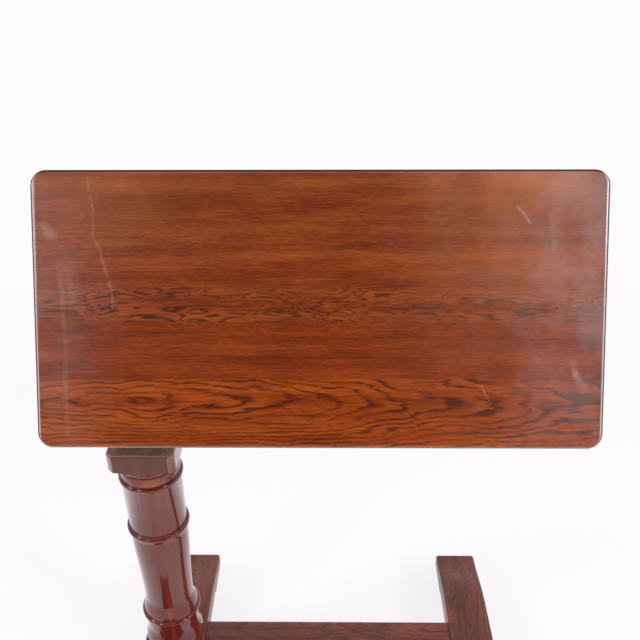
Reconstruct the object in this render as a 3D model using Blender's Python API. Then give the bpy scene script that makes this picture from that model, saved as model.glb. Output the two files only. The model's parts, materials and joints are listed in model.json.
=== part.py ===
"""Tilt-top reading table in stained oak.

A turned column stands on a castered base near the left end of the top. A square post slides in the
column, and its head carries the top on a clamped pivot, so the top rises, falls and tilts. The pose
modelled is a steep reading tilt with the post part way up.

Units are metres. X runs along the top, Y to the back, Z up, and the floor is at Z 0.
"""

import math

import bmesh
import bpy
from mathutils import Matrix

# Clearances
SEAT = 0.0003               # between two pieces that rest on or pass each other
OVERCUT = 0.002             # how far a cutter runs past the face it opens

# Top
TOP_LENGTH = 0.762
TOP_DEPTH = 0.372
TOP_THICK = 0.019
CORNER_RADIUS = 0.021
EDGE_ROUND = 0.005
MIDDLE_JOINT = -0.0145      # glue line nearest the middle, from the middle of the depth
SECOND_BOARD = 0.0765       # in front of that line
THIRD_BOARD = 0.0935        # behind it
TILT_DEG = 64.0

# Rails under the top
BEARER_WIDTH = 0.070
BEARER_THICK = 0.025
CLEAT_WIDTH = 0.040
CLEAT_THICK = 0.025
CLEAT_END_INSET = 0.023     # from the front or back edge of the top to the cleat's end
CLEAT_INSET = 0.008         # from the end of the top to the cleat's side
RAIL_CHAMFER = 0.003
CHEEK_THICK = 0.024
CHEEK_WIDTH = 0.062
CHEEK_RISE = 0.031          # pivot axis to the underside of the bearer

# Wood screws
SCREW_HEAD_RADIUS = 0.0045
SCREW_HEAD_DEPTH = 0.003
SCREW_SHANK_RADIUS = 0.0022
SCREW_TIP = 0.006
SCREW_GRIP = 0.011          # thread held in the top boards
CHEEK_SCREW_GRIP = 0.014    # thread held in a cheek
BEARER_SCREWS = 4
BEARER_SCREW_OFFSET = 0.012 # from the middle glue line
CHEEK_SCREW_OFFSET = 0.017

# Pivot bolt, discs, washers and wing nut
BOLT_RADIUS = 0.005
BOLT_HEAD_RADIUS = 0.011
BOLT_HEAD_THICK = 0.006
BOLT_TAIL = 0.005
DISC_RADIUS = 0.026
DISC_THICK = 0.002
WASHER_RADIUS = 0.013
WASHER_THICK = 0.0018
NUT_RADIUS = 0.009
NUT_LENGTH = 0.013
PADDLE_REACH = 0.027        # screw axis to the tip of a wing
PADDLE_TIP_RADIUS = 0.007
PADDLE_ROOT_HALF = 0.004
PADDLE_THICK = 0.004

# Post and its head
POST_WIDTH = 0.044
POST_CHAMFER = 0.003
HEAD_WIDTH = 0.040
HEAD_BACK = 0.0295          # pivot axis to the head's back face
HEAD_DROP = 0.060           # pivot axis to the head's underside
HEAD_GAP = 0.0006           # head's crown to the bearer
HEAD_TENON_WIDTH = 0.020
HEAD_TENON_LENGTH = 0.026
PEG_RADIUS = 0.004

# Column, measured down from the top of its block
COLUMN_INSET = 0.103        # left end of the top to the column's axis
BLOCK_TOP = 0.580           # height above the floor
PIVOT_LIFT = 0.232          # top of the block to the pivot axis, as modelled
PIVOT_LOW = 0.080           # the same with the post right down
BLOCK_WIDTH = 0.106
BLOCK_CHAMFER = 0.009
BLOCK_ARRIS = 0.002
BLOCK_CORNER_DROP = 0.034   # block's flat faces at their corners
SHOULDER_END = 0.050
SHOULDER_REACH = 0.0215     # how far the shoulder's cove runs out from the neck
NECK_RADIUS = 0.0475
NECK_FLARE = 0.0020
GROOVE_DEPTH = 0.0015
GROOVE_HALF = 0.0011
NECK_GROOVE_GAP = 0.0022    # end of the shoulder to the middle of the groove below it
BEAD_GROOVE_GAP = 0.00165   # middle of the lower groove to the upper bead
BEAD_RADIUS = 0.0526
BEAD_HALF = 0.0045
UPPER_BEAD_DROP = 0.0755
LOWER_BEAD_DROP = 0.1870
FILLET_HEIGHT = 0.003
FILLET_STEP = 0.0014
SHAFT_RADIUS = 0.0483
WAIST_RADIUS = 0.0430
WAIST_RISE = 0.124          # above the column's foot
BASE_BEAD_RISE = 0.084      # above the column's foot
BELL_RADIUS = 0.0522
BELL_HEIGHT = 0.050
BELL_FOOT = 0.017           # upright part at the bottom of the bell
COLUMN_TENON_RADIUS = 0.025
COLUMN_TENON_LENGTH = 0.034
BORE_FLOOR = 0.0887         # wood left under the post's bore
BORE_SPARE = 0.005          # bore below the post when the post is right down

# Height clamp, in the back of the block
CLAMP_DROP = 0.0185
CLAMP_SCREW_RADIUS = 0.005
CLAMP_HUB_RADIUS = 0.009
CLAMP_HUB_LENGTH = 0.012
BUSH_RADIUS = 0.009
BUSH_LAND = 0.0047          # wood between the bush and the shoe's pocket
FLANGE_RADIUS = 0.014
FLANGE_THICK = 0.003
SHOE_WIDTH = 0.020
SHOE_HEIGHT = 0.022
SHOE_THICK = 0.004

# Base
FOOT_LENGTH = 0.420
FOOT_HEIGHT = 0.050
FOOT_TIP_HEIGHT = 0.030
FOOT_CROWN = 0.150          # level length over the middle of a foot
FOOT_PAD = 0.076            # level length under each end of a foot
FOOT_RELIEF = 0.008
FOOT_RELIEF_RUN = 0.012
FOOT_CHAMFER = 0.004
FOOT_LEFT_WIDTH = 0.112
FOOT_RIGHT_WIDTH = 0.080
FOOT_RIGHT_INSET = 0.096    # right end of the top to the middle of the right foot
STRETCHER_WIDTH = 0.060
STRETCHER_HEIGHT = 0.034
STRETCHER_LIFT = 0.010      # underside of a foot to the underside of the stretcher
STRETCHER_CHAMFER = 0.004
TENON_WIDTH = 0.036
TENON_HEIGHT = 0.018
TENON_WEB = 0.005           # wood left between the column's tenon and the stretcher's
TENON_END_WOOD = 0.054      # wood left beyond the stretcher's tenon in the right foot

# Casters
CASTER_INSET = 0.038        # end of a foot to the caster's pin
WHEEL_RADIUS = 0.018
WHEEL_WIDTH = 0.014
WHEEL_CROWN = 0.0025
CASTER_TRAIL = 0.014
AXLE_RADIUS = 0.0025
AXLE_HEAD_RADIUS = 0.005
AXLE_HEAD = 0.0012
HORN_WALL = 0.0026
HORN_SIDE_GAP = 0.0006
HORN_CROWN_THICK = 0.004
HORN_CROWN_RADIUS = 0.012
HORN_EYE_RADIUS = 0.006
HORN_EYE_START_DEG = 200.0  # where an arm's edges meet its eye
HORN_EYE_END_DEG = 380.0
PIN_RADIUS = 0.004
PIN_HEAD_RADIUS = 0.006
PIN_HEAD_THICK = 0.002
PLATE_RADIUS = 0.018
PLATE_THICK = 0.004
WHEEL_HEADROOM = 0.0015     # wheel to the horn's crown

# Facets round a turned piece, steps along an arc, and the least angle of a sharp edge
COLUMN_FACETS = 32
WHEEL_FACETS = 24
METAL_FACETS = 16
SCREW_FACETS = 8
ARC_STEPS = 5
LONG_ARC_STEPS = 10
EDGE_STEPS = 2
SHARP_DEG = 35.0

# Places worked out from the sizes above
AXLE_HEIGHT = WHEEL_RADIUS * math.cos(math.pi / WHEEL_FACETS)   # a facet of the wheel lies on the floor
HORN_CROWN_LOW = AXLE_HEIGHT + WHEEL_RADIUS + WHEEL_HEADROOM
CASTER_HEIGHT = HORN_CROWN_LOW + HORN_CROWN_THICK + PLATE_THICK + 2 * SEAT
COLUMN_X = COLUMN_INSET - TOP_LENGTH / 2
FOOT_RIGHT_X = TOP_LENGTH / 2 - FOOT_RIGHT_INSET
CLEAT_LENGTH = TOP_DEPTH - 2 * CLEAT_END_INSET
UNDERSIDE = CHEEK_RISE + BEARER_THICK + SEAT        # pivot axis to the underside of the boards
PIVOT_HEIGHT = BLOCK_TOP + PIVOT_LIFT
FOOT_TOP = CASTER_HEIGHT + FOOT_HEIGHT
COLUMN_LENGTH = BLOCK_TOP - FOOT_TOP - SEAT
HEAD_HALF = HEAD_WIDTH / 2
CHEEK_INNER = HEAD_HALF + DISC_THICK + 2 * SEAT     # column axis to a cheek's inner face
CHEEK_OUTER = CHEEK_INNER + CHEEK_THICK
WASHER_OUTER = CHEEK_OUTER + SEAT + WASHER_THICK
NUT_END = WASHER_OUTER + SEAT + NUT_LENGTH
CLEAT_X = TOP_LENGTH / 2 - CLEAT_INSET - CLEAT_WIDTH / 2
POST_HALF = POST_WIDTH / 2
BORE_HALF = POST_HALF + SEAT
BORE_DEPTH = COLUMN_LENGTH - BORE_FLOOR
POST_LENGTH = BORE_DEPTH - BORE_SPARE + PIVOT_LOW   # pivot axis to the post's lower end
BLOCK_HALF = BLOCK_WIDTH / 2


def material(name, colour, roughness, metallic=0.0):
    """Principled material with a linear base colour."""
    made = bpy.data.materials.new(name)
    made.use_nodes = True
    shader = made.node_tree.nodes["Principled BSDF"]
    shader.inputs["Base Color"].default_value = (*colour, 1.0)
    shader.inputs["Roughness"].default_value = roughness
    shader.inputs["Metallic"].default_value = metallic
    return made


def add(name, shape, finish, parent=None, location=(0.0, 0.0, 0.0)):
    """Turn a bmesh into a named object, smooth where its faces meet at a shallow angle."""
    bmesh.ops.recalc_face_normals(shape, faces=shape.faces)
    mesh = bpy.data.meshes.new(name)
    shape.to_mesh(mesh)
    shape.free()
    mesh.shade_smooth()
    mesh.set_sharp_from_angle(angle=math.radians(SHARP_DEG))
    mesh.materials.append(finish)
    piece = bpy.data.objects.new(name, mesh)
    bpy.context.collection.objects.link(piece)
    piece.parent = parent
    piece.location = location
    return piece


def axis_empty(name, location, turn=(0.0, 0.0, 0.0)):
    """Empty on a joint's axis, to which the moving pieces are parented."""
    empty = bpy.data.objects.new(name, None)
    bpy.context.collection.objects.link(empty)
    empty.location = location
    empty.rotation_euler = turn
    return empty


def combine(piece, other, operation):
    """Boolean of piece with a hidden helper shape."""
    other.hide_render = True
    other.display_type = "WIRE"
    step = piece.modifiers.new(other.name, "BOOLEAN")
    step.operation = operation
    step.solver = "EXACT"
    step.object = other


def chamfer(piece, width):
    """Flat chamfer on every sharp edge."""
    step = piece.modifiers.new("chamfer", "BEVEL")
    step.width = width
    step.segments = 1
    step.limit_method = "ANGLE"
    step.angle_limit = math.radians(SHARP_DEG)


def arc(centre, radius, start_deg, end_deg, steps=ARC_STEPS):
    """Points along a circular arc, both ends included."""
    turns = [start_deg + (end_deg - start_deg) * k / steps for k in range(steps + 1)]
    return [(centre[0] + radius * math.cos(math.radians(turn)),
             centre[1] + radius * math.sin(math.radians(turn))) for turn in turns]


def prism(outline, low, high, axis="Z"):
    """Outline in the two other axes, in their alphabetical order, carried from low to high."""
    order = {"X": (2, 0, 1), "Y": (0, 2, 1), "Z": (0, 1, 2)}[axis]
    shape = bmesh.new()
    rows = []
    for level in (low, high):
        flat = [(first, second, level) for first, second in outline]
        rows.append([shape.verts.new([point[k] for k in order]) for point in flat])
    shape.faces.new(rows[0])
    shape.faces.new(rows[1])
    count = len(outline)
    for k in range(count):
        after = (k + 1) % count
        shape.faces.new((rows[0][k], rows[0][after], rows[1][after], rows[1][k]))
    return shape


def box(low, high):
    """Cuboid between two corners."""
    outline = [(low[0], low[1]), (high[0], low[1]), (high[0], high[1]), (low[0], high[1])]
    return prism(outline, low[2], high[2])


def turned(profile, facets, ring=False):
    """Solid turned about Z from (radius, height) points; a ring's profile closes on itself."""
    shape = bmesh.new()
    rows = []
    for radius, height in profile:
        if radius == 0.0:
            rows.append([shape.verts.new((0.0, 0.0, height))] * facets)
            continue
        turns = [2 * math.pi * k / facets for k in range(facets)]
        rows.append([shape.verts.new((radius * math.cos(t), radius * math.sin(t), height))
                     for t in turns])
    pairs = list(zip(rows, rows[1:]))
    if ring:
        pairs.append((rows[-1], rows[0]))
    for upper, lower in pairs:
        for k in range(facets):
            after = (k + 1) % facets
            corners = (upper[k], upper[after], lower[after], lower[k])
            shape.faces.new(list(dict.fromkeys(corners)))
    return shape


def aimed(shape, direction):
    """Turn a shape made about Z so that its +Z looks along X, Y, or another signed axis."""
    turns = {"+X": Matrix.Rotation(math.pi / 2, 4, "Y"), "-X": Matrix.Rotation(-math.pi / 2, 4, "Y"),
             "+Y": Matrix.Rotation(-math.pi / 2, 4, "X"), "-Y": Matrix.Rotation(math.pi / 2, 4, "X"),
             "+Z": Matrix.Identity(4), "-Z": Matrix.Rotation(math.pi, 4, "X")}
    shape.transform(turns[direction])
    return shape


def rod(radius, low, high, facets=METAL_FACETS):
    """Plain cylinder about Z."""
    return turned([(0.0, high), (radius, high), (radius, low), (0.0, low)], facets)


def tube(inner, outer, low, high, facets=METAL_FACETS):
    """Washer, disc or bush about Z."""
    return turned([(inner, high), (outer, high), (outer, low), (inner, low)], facets, ring=True)


def paddle():
    """Flat wing of a hand screw, in the plane of X and Z, rooted on the Z axis."""
    tip = PADDLE_REACH - PADDLE_TIP_RADIUS
    root = (NUT_RADIUS + BOLT_RADIUS) / 2
    outline = [(root, -PADDLE_ROOT_HALF)]
    outline += arc((tip, 0.0), PADDLE_TIP_RADIUS, -90, 90)
    outline.append((root, PADDLE_ROOT_HALF))
    return prism(outline, -PADDLE_THICK / 2, PADDLE_THICK / 2, "Y")


def add_paddles(piece, parent, location, direction, along):
    """Join two opposite wings to a hand screw, at a distance along its axis."""
    for number, half_turn in enumerate((0.0, math.pi)):
        wing = paddle()
        wing.transform(Matrix.Rotation(half_turn, 4, "Z"))
        wing.transform(Matrix.Translation((0.0, 0.0, along)))
        other = add(f"{piece.name}_wing_{number}", aimed(wing, direction), brass, parent, location)
        combine(piece, other, "UNION")


def wood_screw(length, grow=0.0):
    """Countersunk screw about Z with its head at the top; grown, it cuts its own hole."""
    head = SCREW_HEAD_RADIUS + grow
    shank = SCREW_SHANK_RADIUS + grow
    profile = [(0.0, 0.0), (head, 0.0), (shank, -SCREW_HEAD_DEPTH)]
    if grow:
        profile[:2] = [(0.0, OVERCUT), (head, OVERCUT), (head, 0.0)]
        profile += [(shank, -length - grow), (0.0, -length - grow)]
    else:
        profile += [(shank, SCREW_TIP - length), (0.0, -length)]
    return turned(profile, SCREW_FACETS)


def drive_screw(name, place, direction, length, pieces):
    """Add a screw whose head lies flush at place, and cut its hole in each piece."""
    add(name, aimed(wood_screw(length), direction), steel, tilt_axis, place)
    hole = add(f"{name}_hole", aimed(wood_screw(length, SEAT), direction), steel, tilt_axis, place)
    for piece in pieces:
        combine(piece, hole, "DIFFERENCE")


for old in list(bpy.data.objects):
    bpy.data.objects.remove(old)

oak_top = material("stained oak, polished", (0.242, 0.058, 0.022), 0.35)
oak_column = material("dark stained oak", (0.120, 0.038, 0.030), 0.30)
oak_frame = material("dark stained oak, plain", (0.105, 0.034, 0.020), 0.45)
brass = material("aged brass", (0.42, 0.27, 0.10), 0.40, 1.0)
steel = material("dull steel", (0.26, 0.25, 0.24), 0.45, 1.0)
leather = material("brown leather", (0.10, 0.045, 0.02), 0.75)

# Top: four boards cut from one rounded slab, in the frame of the tilt axis
tilt_axis = axis_empty("tilt_axis", (0.0, 0.0, PIVOT_HEIGHT), (math.radians(TILT_DEG), 0.0, 0.0))


def slab():
    """The whole top: a rounded oblong with its upper and lower edges rounded over."""
    half_x = TOP_LENGTH / 2 - CORNER_RADIUS
    half_y = TOP_DEPTH / 2 - CORNER_RADIUS
    outline = []
    for x, y, start in ((half_x, -half_y, -90), (half_x, half_y, 0), (-half_x, half_y, 90),
                        (-half_x, -half_y, 180)):
        outline += arc((x, y), CORNER_RADIUS, start, start + 90)
    shape = prism(outline, UNDERSIDE, UNDERSIDE + TOP_THICK)
    bmesh.ops.recalc_face_normals(shape, faces=shape.faces)
    rims = [edge for edge in shape.edges if abs(edge.verts[0].co.z - edge.verts[1].co.z) < SEAT]
    bmesh.ops.bevel(shape, geom=rims, offset=EDGE_ROUND, segments=EDGE_STEPS, profile=0.5,
                    affect="EDGES")
    return shape


def board(name, front, back):
    """The slab between two cuts across its depth, at distances from the middle."""
    shape = slab()
    for level, keep_side in ((front, -1.0), (back, 1.0)):
        if abs(level) > TOP_DEPTH / 2 - SEAT:
            continue
        everything = shape.verts[:] + shape.edges[:] + shape.faces[:]
        cut = bmesh.ops.bisect_plane(shape, geom=everything, plane_co=(0.0, level, 0.0),
                                     plane_no=(0.0, keep_side, 0.0), clear_outer=True)
        rim = [item for item in cut["geom_cut"] if isinstance(item, bmesh.types.BMEdge)]
        bmesh.ops.edgeloop_fill(shape, edges=rim)
    return add(name, shape, oak_top, tilt_axis)


cuts = [-TOP_DEPTH / 2, MIDDLE_JOINT - SECOND_BOARD, MIDDLE_JOINT, MIDDLE_JOINT + THIRD_BOARD,
        TOP_DEPTH / 2]
boards = []
for name, front, back in zip(("front", "second", "third", "back"), cuts, cuts[1:]):
    boards.append(board(f"{name}_board", front + SEAT / 2, back - SEAT / 2))

# Bearer and cleats: an H of oak rails screwed under the boards
bearer_end = CLEAT_X - CLEAT_WIDTH / 2 - SEAT
bearer = add("bearer", box((-bearer_end, -BEARER_WIDTH / 2, CHEEK_RISE),
                           (bearer_end, BEARER_WIDTH / 2, CHEEK_RISE + BEARER_THICK)),
             oak_frame, tilt_axis)
chamfer(bearer, RAIL_CHAMFER)

cleats = {}
for side, x in (("left", -CLEAT_X), ("right", CLEAT_X)):
    cleat_top = UNDERSIDE - SEAT
    cleats[side] = add(f"cleat_{side}",
                       box((x - CLEAT_WIDTH / 2, -CLEAT_LENGTH / 2, cleat_top - CLEAT_THICK),
                           (x + CLEAT_WIDTH / 2, CLEAT_LENGTH / 2, cleat_top)),
                       oak_frame, tilt_axis)
    chamfer(cleats[side], RAIL_CHAMFER)

# Cheeks: two lugs with round ends about the pivot axis, either side of the post's head
cheeks = {}
for side, sign in (("left", -1), ("right", 1)):
    outline = arc((0.0, 0.0), CHEEK_WIDTH / 2, 180, 360, LONG_ARC_STEPS)
    outline += [(CHEEK_WIDTH / 2, CHEEK_RISE - SEAT), (-CHEEK_WIDTH / 2, CHEEK_RISE - SEAT)]
    faces = sorted((COLUMN_X + sign * CHEEK_INNER, COLUMN_X + sign * CHEEK_OUTER))
    cheeks[side] = add(f"cheek_{side}", prism(outline, faces[0], faces[1], "X"), oak_frame, tilt_axis)

# Screws: up through the bearer and cleats into the boards, and down through the bearer into the cheeks
rail_screw = BEARER_THICK + SEAT + SCREW_GRIP
cheek_face = COLUMN_X + CHEEK_OUTER
pitch = (bearer_end - cheek_face) / BEARER_SCREWS
for number in range(BEARER_SCREWS):
    behind = number % 2
    y = MIDDLE_JOINT + (2 * behind - 1) * BEARER_SCREW_OFFSET
    place = (cheek_face + (number + 0.5) * pitch, y, CHEEK_RISE + SEAT)
    drive_screw(f"bearer_screw_{number + 1}", place, "-Z", rail_screw, (bearer, boards[1 + behind]))

cleat_screw = CLEAT_THICK + SEAT + SCREW_GRIP
number = 0
for side, x in (("left", -CLEAT_X), ("right", CLEAT_X)):
    for held, front, back in zip(boards, cuts, cuts[1:]):
        number += 1
        place = (x, (front + back) / 2, UNDERSIDE - CLEAT_THICK)
        drive_screw(f"cleat_screw_{number}", place, "-Z", cleat_screw, (cleats[side], held))

number = 0
for side, sign in (("left", -1), ("right", 1)):
    x = COLUMN_X + sign * (CHEEK_INNER + CHEEK_OUTER) / 2
    for y in (-CHEEK_SCREW_OFFSET, CHEEK_SCREW_OFFSET):
        number += 1
        place = (x, y, CHEEK_RISE + BEARER_THICK - SEAT)
        drive_screw(f"cheek_screw_{number}", place, "+Z", BEARER_THICK + SEAT + CHEEK_SCREW_GRIP,
                    (bearer, cheeks[side]))

# Pivot bolt along the tilt axis, with its washers, leather friction discs and wing nut
pivot_place = (COLUMN_X, 0.0, 0.0)
bolt_hole = BOLT_RADIUS + SEAT
head_face = WASHER_OUTER + SEAT
bolt_profile = [(0.0, NUT_END + BOLT_TAIL), (BOLT_RADIUS, NUT_END + BOLT_TAIL),
                (BOLT_RADIUS, -head_face), (BOLT_HEAD_RADIUS, -head_face),
                (BOLT_HEAD_RADIUS, -head_face - BOLT_HEAD_THICK / 2),
                (BOLT_HEAD_RADIUS / 2, -head_face - BOLT_HEAD_THICK),
                (0.0, -head_face - BOLT_HEAD_THICK)]
add("pivot_bolt", aimed(turned(bolt_profile, METAL_FACETS), "+X"), steel, tilt_axis, pivot_place)

for side, sign in (("left", -1), ("right", 1)):
    inner, outer = sorted((sign * (HEAD_HALF + SEAT), sign * (HEAD_HALF + SEAT + DISC_THICK)))
    add(f"friction_disc_{side}", aimed(tube(bolt_hole, DISC_RADIUS, inner, outer), "+X"), leather,
        tilt_axis, pivot_place)
    inner, outer = sorted((sign * (CHEEK_OUTER + SEAT), sign * WASHER_OUTER))
    add(f"bolt_washer_{side}", aimed(tube(bolt_hole, WASHER_RADIUS, inner, outer), "+X"), steel,
        tilt_axis, pivot_place)

wing_nut = add("wing_nut", aimed(tube(bolt_hole, NUT_RADIUS, WASHER_OUTER + SEAT, NUT_END), "+X"),
               brass, tilt_axis, pivot_place)
add_paddles(wing_nut, tilt_axis, pivot_place, "+X", NUT_END - PADDLE_TIP_RADIUS + BOLT_TAIL / 2)

# Post: square, with a tenon up into its rounded head
post_axis = axis_empty("post_axis", (COLUMN_X, 0.0, PIVOT_HEIGHT))
post_top = -HEAD_DROP - SEAT
post = add("post", box((-POST_HALF, -POST_HALF, -POST_LENGTH), (POST_HALF, POST_HALF, post_top)),
           oak_frame, post_axis)
chamfer(post, POST_CHAMFER)
tenon_half = HEAD_TENON_WIDTH / 2
tenon_top = HEAD_TENON_LENGTH - HEAD_DROP
tenon = add("post_tenon", box((-tenon_half, -tenon_half, post_top - POST_CHAMFER),
                              (tenon_half, tenon_half, tenon_top)), oak_frame, post_axis)
combine(post, tenon, "UNION")

crown = CHEEK_RISE - HEAD_GAP
outline = [(-crown, -HEAD_DROP), (HEAD_BACK, -HEAD_DROP), (HEAD_BACK, crown)]
outline += arc((0.0, 0.0), crown, 90, 180, LONG_ARC_STEPS)
head = add("post_head", prism(outline, -HEAD_HALF, HEAD_HALF, "X"), oak_frame, post_axis)
mortise_half = tenon_half + SEAT
mortise = add("head_mortise", box((-mortise_half, -mortise_half, -HEAD_DROP - OVERCUT),
                                  (mortise_half, mortise_half, tenon_top + SEAT)),
              oak_frame, post_axis)
combine(head, mortise, "DIFFERENCE")

peg_drop = -HEAD_DROP + HEAD_TENON_LENGTH / 2
add("head_peg", aimed(rod(PEG_RADIUS, -HEAD_HALF + SEAT, HEAD_HALF - SEAT), "+X"), oak_frame, post_axis,
    (0.0, 0.0, peg_drop))
peg_hole = add("head_peg_hole", aimed(rod(PEG_RADIUS + SEAT, -HEAD_HALF - OVERCUT, HEAD_HALF + OVERCUT),
                                      "+X"), oak_frame, post_axis, (0.0, 0.0, peg_drop))
combine(head, peg_hole, "DIFFERENCE")
combine(post, peg_hole, "DIFFERENCE")

reach = CHEEK_OUTER + OVERCUT
for owner, parent, place in ((head, post_axis, (0.0, 0.0, 0.0)),
                             (cheeks["left"], tilt_axis, pivot_place),
                             (cheeks["right"], tilt_axis, pivot_place)):
    hole = add(f"{owner.name}_bolt_hole", aimed(rod(bolt_hole, -reach, reach), "+X"), steel, parent, place)
    combine(owner, hole, "DIFFERENCE")


# Column: turned from square stock, the block at its top left square
def bead(radius, drop):
    """Half-round bead standing out from the radius of its neighbours."""
    steps = ARC_STEPS
    turns = [math.pi * k / steps - math.pi / 2 for k in range(steps + 1)]
    return [(radius + (BEAD_RADIUS - radius) * math.cos(turn), -drop - BEAD_HALF * math.sin(turn))
            for turn in turns]


def groove(radius, drop):
    """Narrow vee groove."""
    return [(radius, GROOVE_HALF - drop), (radius - GROOVE_DEPTH, -drop), (radius, -GROOVE_HALF - drop)]


def sweep(radius_a, drop_a, radius_b, drop_b):
    """Soft S from one radius to another, level with the axis at both ends."""
    points = []
    for k in range(ARC_STEPS + 1):
        share = k / ARC_STEPS
        ease = (1 - math.cos(math.pi * share)) / 2
        points.append((radius_a + (radius_b - radius_a) * ease, -drop_a - (drop_b - drop_a) * share))
    return points


def column_profile():
    """Radius and height down the column, from the block's top to the tenon's end."""
    stock = NECK_RADIUS + SHOULDER_REACH
    clear = BLOCK_WIDTH     # outside the square stock, which trims the block to its faces
    points = [(0.0, 0.0), (clear, 0.0), (clear, -BLOCK_CORNER_DROP)]
    drop = SHOULDER_END - BLOCK_CORNER_DROP
    for k in range(ARC_STEPS + 1):
        turn = math.pi / 2 * (1 - k / ARC_STEPS)
        points.append((stock - SHOULDER_REACH * math.cos(turn), drop * math.sin(turn) - SHOULDER_END))
    flare = NECK_RADIUS + NECK_FLARE
    points += groove(NECK_RADIUS, SHOULDER_END + NECK_GROOVE_GAP)
    points += groove(flare, UPPER_BEAD_DROP - BEAD_HALF - BEAD_GROOVE_GAP)
    points += bead(SHAFT_RADIUS + FILLET_STEP / 2, UPPER_BEAD_DROP)
    points.append((SHAFT_RADIUS, -UPPER_BEAD_DROP - BEAD_HALF - FILLET_HEIGHT / 2))
    lip = LOWER_BEAD_DROP - BEAD_HALF - FILLET_HEIGHT
    points += [(SHAFT_RADIUS, -lip), (SHAFT_RADIUS + FILLET_STEP, -lip)]
    points += bead(SHAFT_RADIUS + FILLET_STEP, LOWER_BEAD_DROP)
    waist = COLUMN_LENGTH - WAIST_RISE
    base_bead = COLUMN_LENGTH - BASE_BEAD_RISE
    points += sweep(SHAFT_RADIUS, LOWER_BEAD_DROP + BEAD_HALF + FILLET_HEIGHT, WAIST_RADIUS, waist)
    points += sweep(WAIST_RADIUS, waist, SHAFT_RADIUS, base_bead - BEAD_HALF - FILLET_HEIGHT)[1:]
    points += bead(SHAFT_RADIUS, base_bead)
    bell = COLUMN_LENGTH - BELL_HEIGHT
    points += sweep(SHAFT_RADIUS - FILLET_STEP, bell, BELL_RADIUS, COLUMN_LENGTH - BELL_FOOT)
    points.append((BELL_RADIUS, -COLUMN_LENGTH))
    tenon_end = -COLUMN_LENGTH - COLUMN_TENON_LENGTH
    points += [(COLUMN_TENON_RADIUS, -COLUMN_LENGTH), (COLUMN_TENON_RADIUS, tenon_end), (0.0, tenon_end)]
    return points


column_place = (COLUMN_X, 0.0, BLOCK_TOP)
column = add("column", turned(column_profile(), COLUMN_FACETS), oak_column, None, column_place)
flat = BLOCK_HALF - BLOCK_CHAMFER
outline = [(flat, -BLOCK_HALF), (BLOCK_HALF, -flat), (BLOCK_HALF, flat), (flat, BLOCK_HALF),
           (-flat, BLOCK_HALF), (-BLOCK_HALF, flat), (-BLOCK_HALF, -flat), (-flat, -BLOCK_HALF)]
stock_shape = prism(outline, -COLUMN_LENGTH - COLUMN_TENON_LENGTH - OVERCUT, -SEAT)
stock = add("column_stock", stock_shape, oak_column, None, column_place)
chamfer(stock, BLOCK_ARRIS)
combine(column, stock, "INTERSECT")

bore = add("column_bore", box((-BORE_HALF, -BORE_HALF, -BORE_DEPTH), (BORE_HALF, BORE_HALF, OVERCUT)),
           oak_column, None, column_place)
combine(column, bore, "DIFFERENCE")

# Height clamp: bush let into the back of the block, thumb screw through it, shoe against the post
clamp_place = (COLUMN_X, 0.0, BLOCK_TOP - CLAMP_DROP)
shoe_back = BORE_HALF + SHOE_THICK
pocket_wide = SHOE_WIDTH / 2 + SEAT
pocket_tall = SHOE_HEIGHT / 2 + SEAT
pocket = add("shoe_pocket", box((-pocket_wide, 0.0, -pocket_tall),
                                (pocket_wide, shoe_back + SEAT, pocket_tall)),
             brass, None, clamp_place)
combine(column, pocket, "DIFFERENCE")
add("clamp_shoe", box((-SHOE_WIDTH / 2, BORE_HALF, -SHOE_HEIGHT / 2),
                      (SHOE_WIDTH / 2, shoe_back, SHOE_HEIGHT / 2)), brass, None, clamp_place)

bush_inner = shoe_back + BUSH_LAND
flange_face = BLOCK_HALF + SEAT + FLANGE_THICK
screw_hole = CLAMP_SCREW_RADIUS + SEAT
bush_profile = [(screw_hole, flange_face), (FLANGE_RADIUS, flange_face), (FLANGE_RADIUS, BLOCK_HALF + SEAT),
                (BUSH_RADIUS, BLOCK_HALF + SEAT), (BUSH_RADIUS, bush_inner), (screw_hole, bush_inner)]
add("clamp_bush", aimed(turned(bush_profile, METAL_FACETS, ring=True), "+Y"), brass, None, clamp_place)
bush_hole = turned([(0.0, BLOCK_HALF + OVERCUT), (BUSH_RADIUS + SEAT, BLOCK_HALF + OVERCUT),
                    (BUSH_RADIUS + SEAT, bush_inner - SEAT), (screw_hole, bush_inner - SEAT),
                    (screw_hole, BORE_HALF), (0.0, BORE_HALF)], METAL_FACETS)
combine(column, add("bush_hole", aimed(bush_hole, "+Y"), brass, None, clamp_place), "DIFFERENCE")

clamp_axis = axis_empty("clamp_axis", clamp_place)
hub_start = flange_face + SEAT
hub_end = hub_start + CLAMP_HUB_LENGTH
screw_profile = [(0.0, hub_end), (CLAMP_HUB_RADIUS, hub_end), (CLAMP_HUB_RADIUS, hub_start),
                 (CLAMP_SCREW_RADIUS, hub_start), (CLAMP_SCREW_RADIUS, shoe_back + SEAT),
                 (0.0, shoe_back + SEAT)]
clamp_screw = add("clamp_screw", aimed(turned(screw_profile, METAL_FACETS), "+Y"), brass, clamp_axis)
add_paddles(clamp_screw, clamp_axis, (0.0, 0.0, 0.0), "+Y", hub_end - PADDLE_ROOT_HALF)


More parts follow.
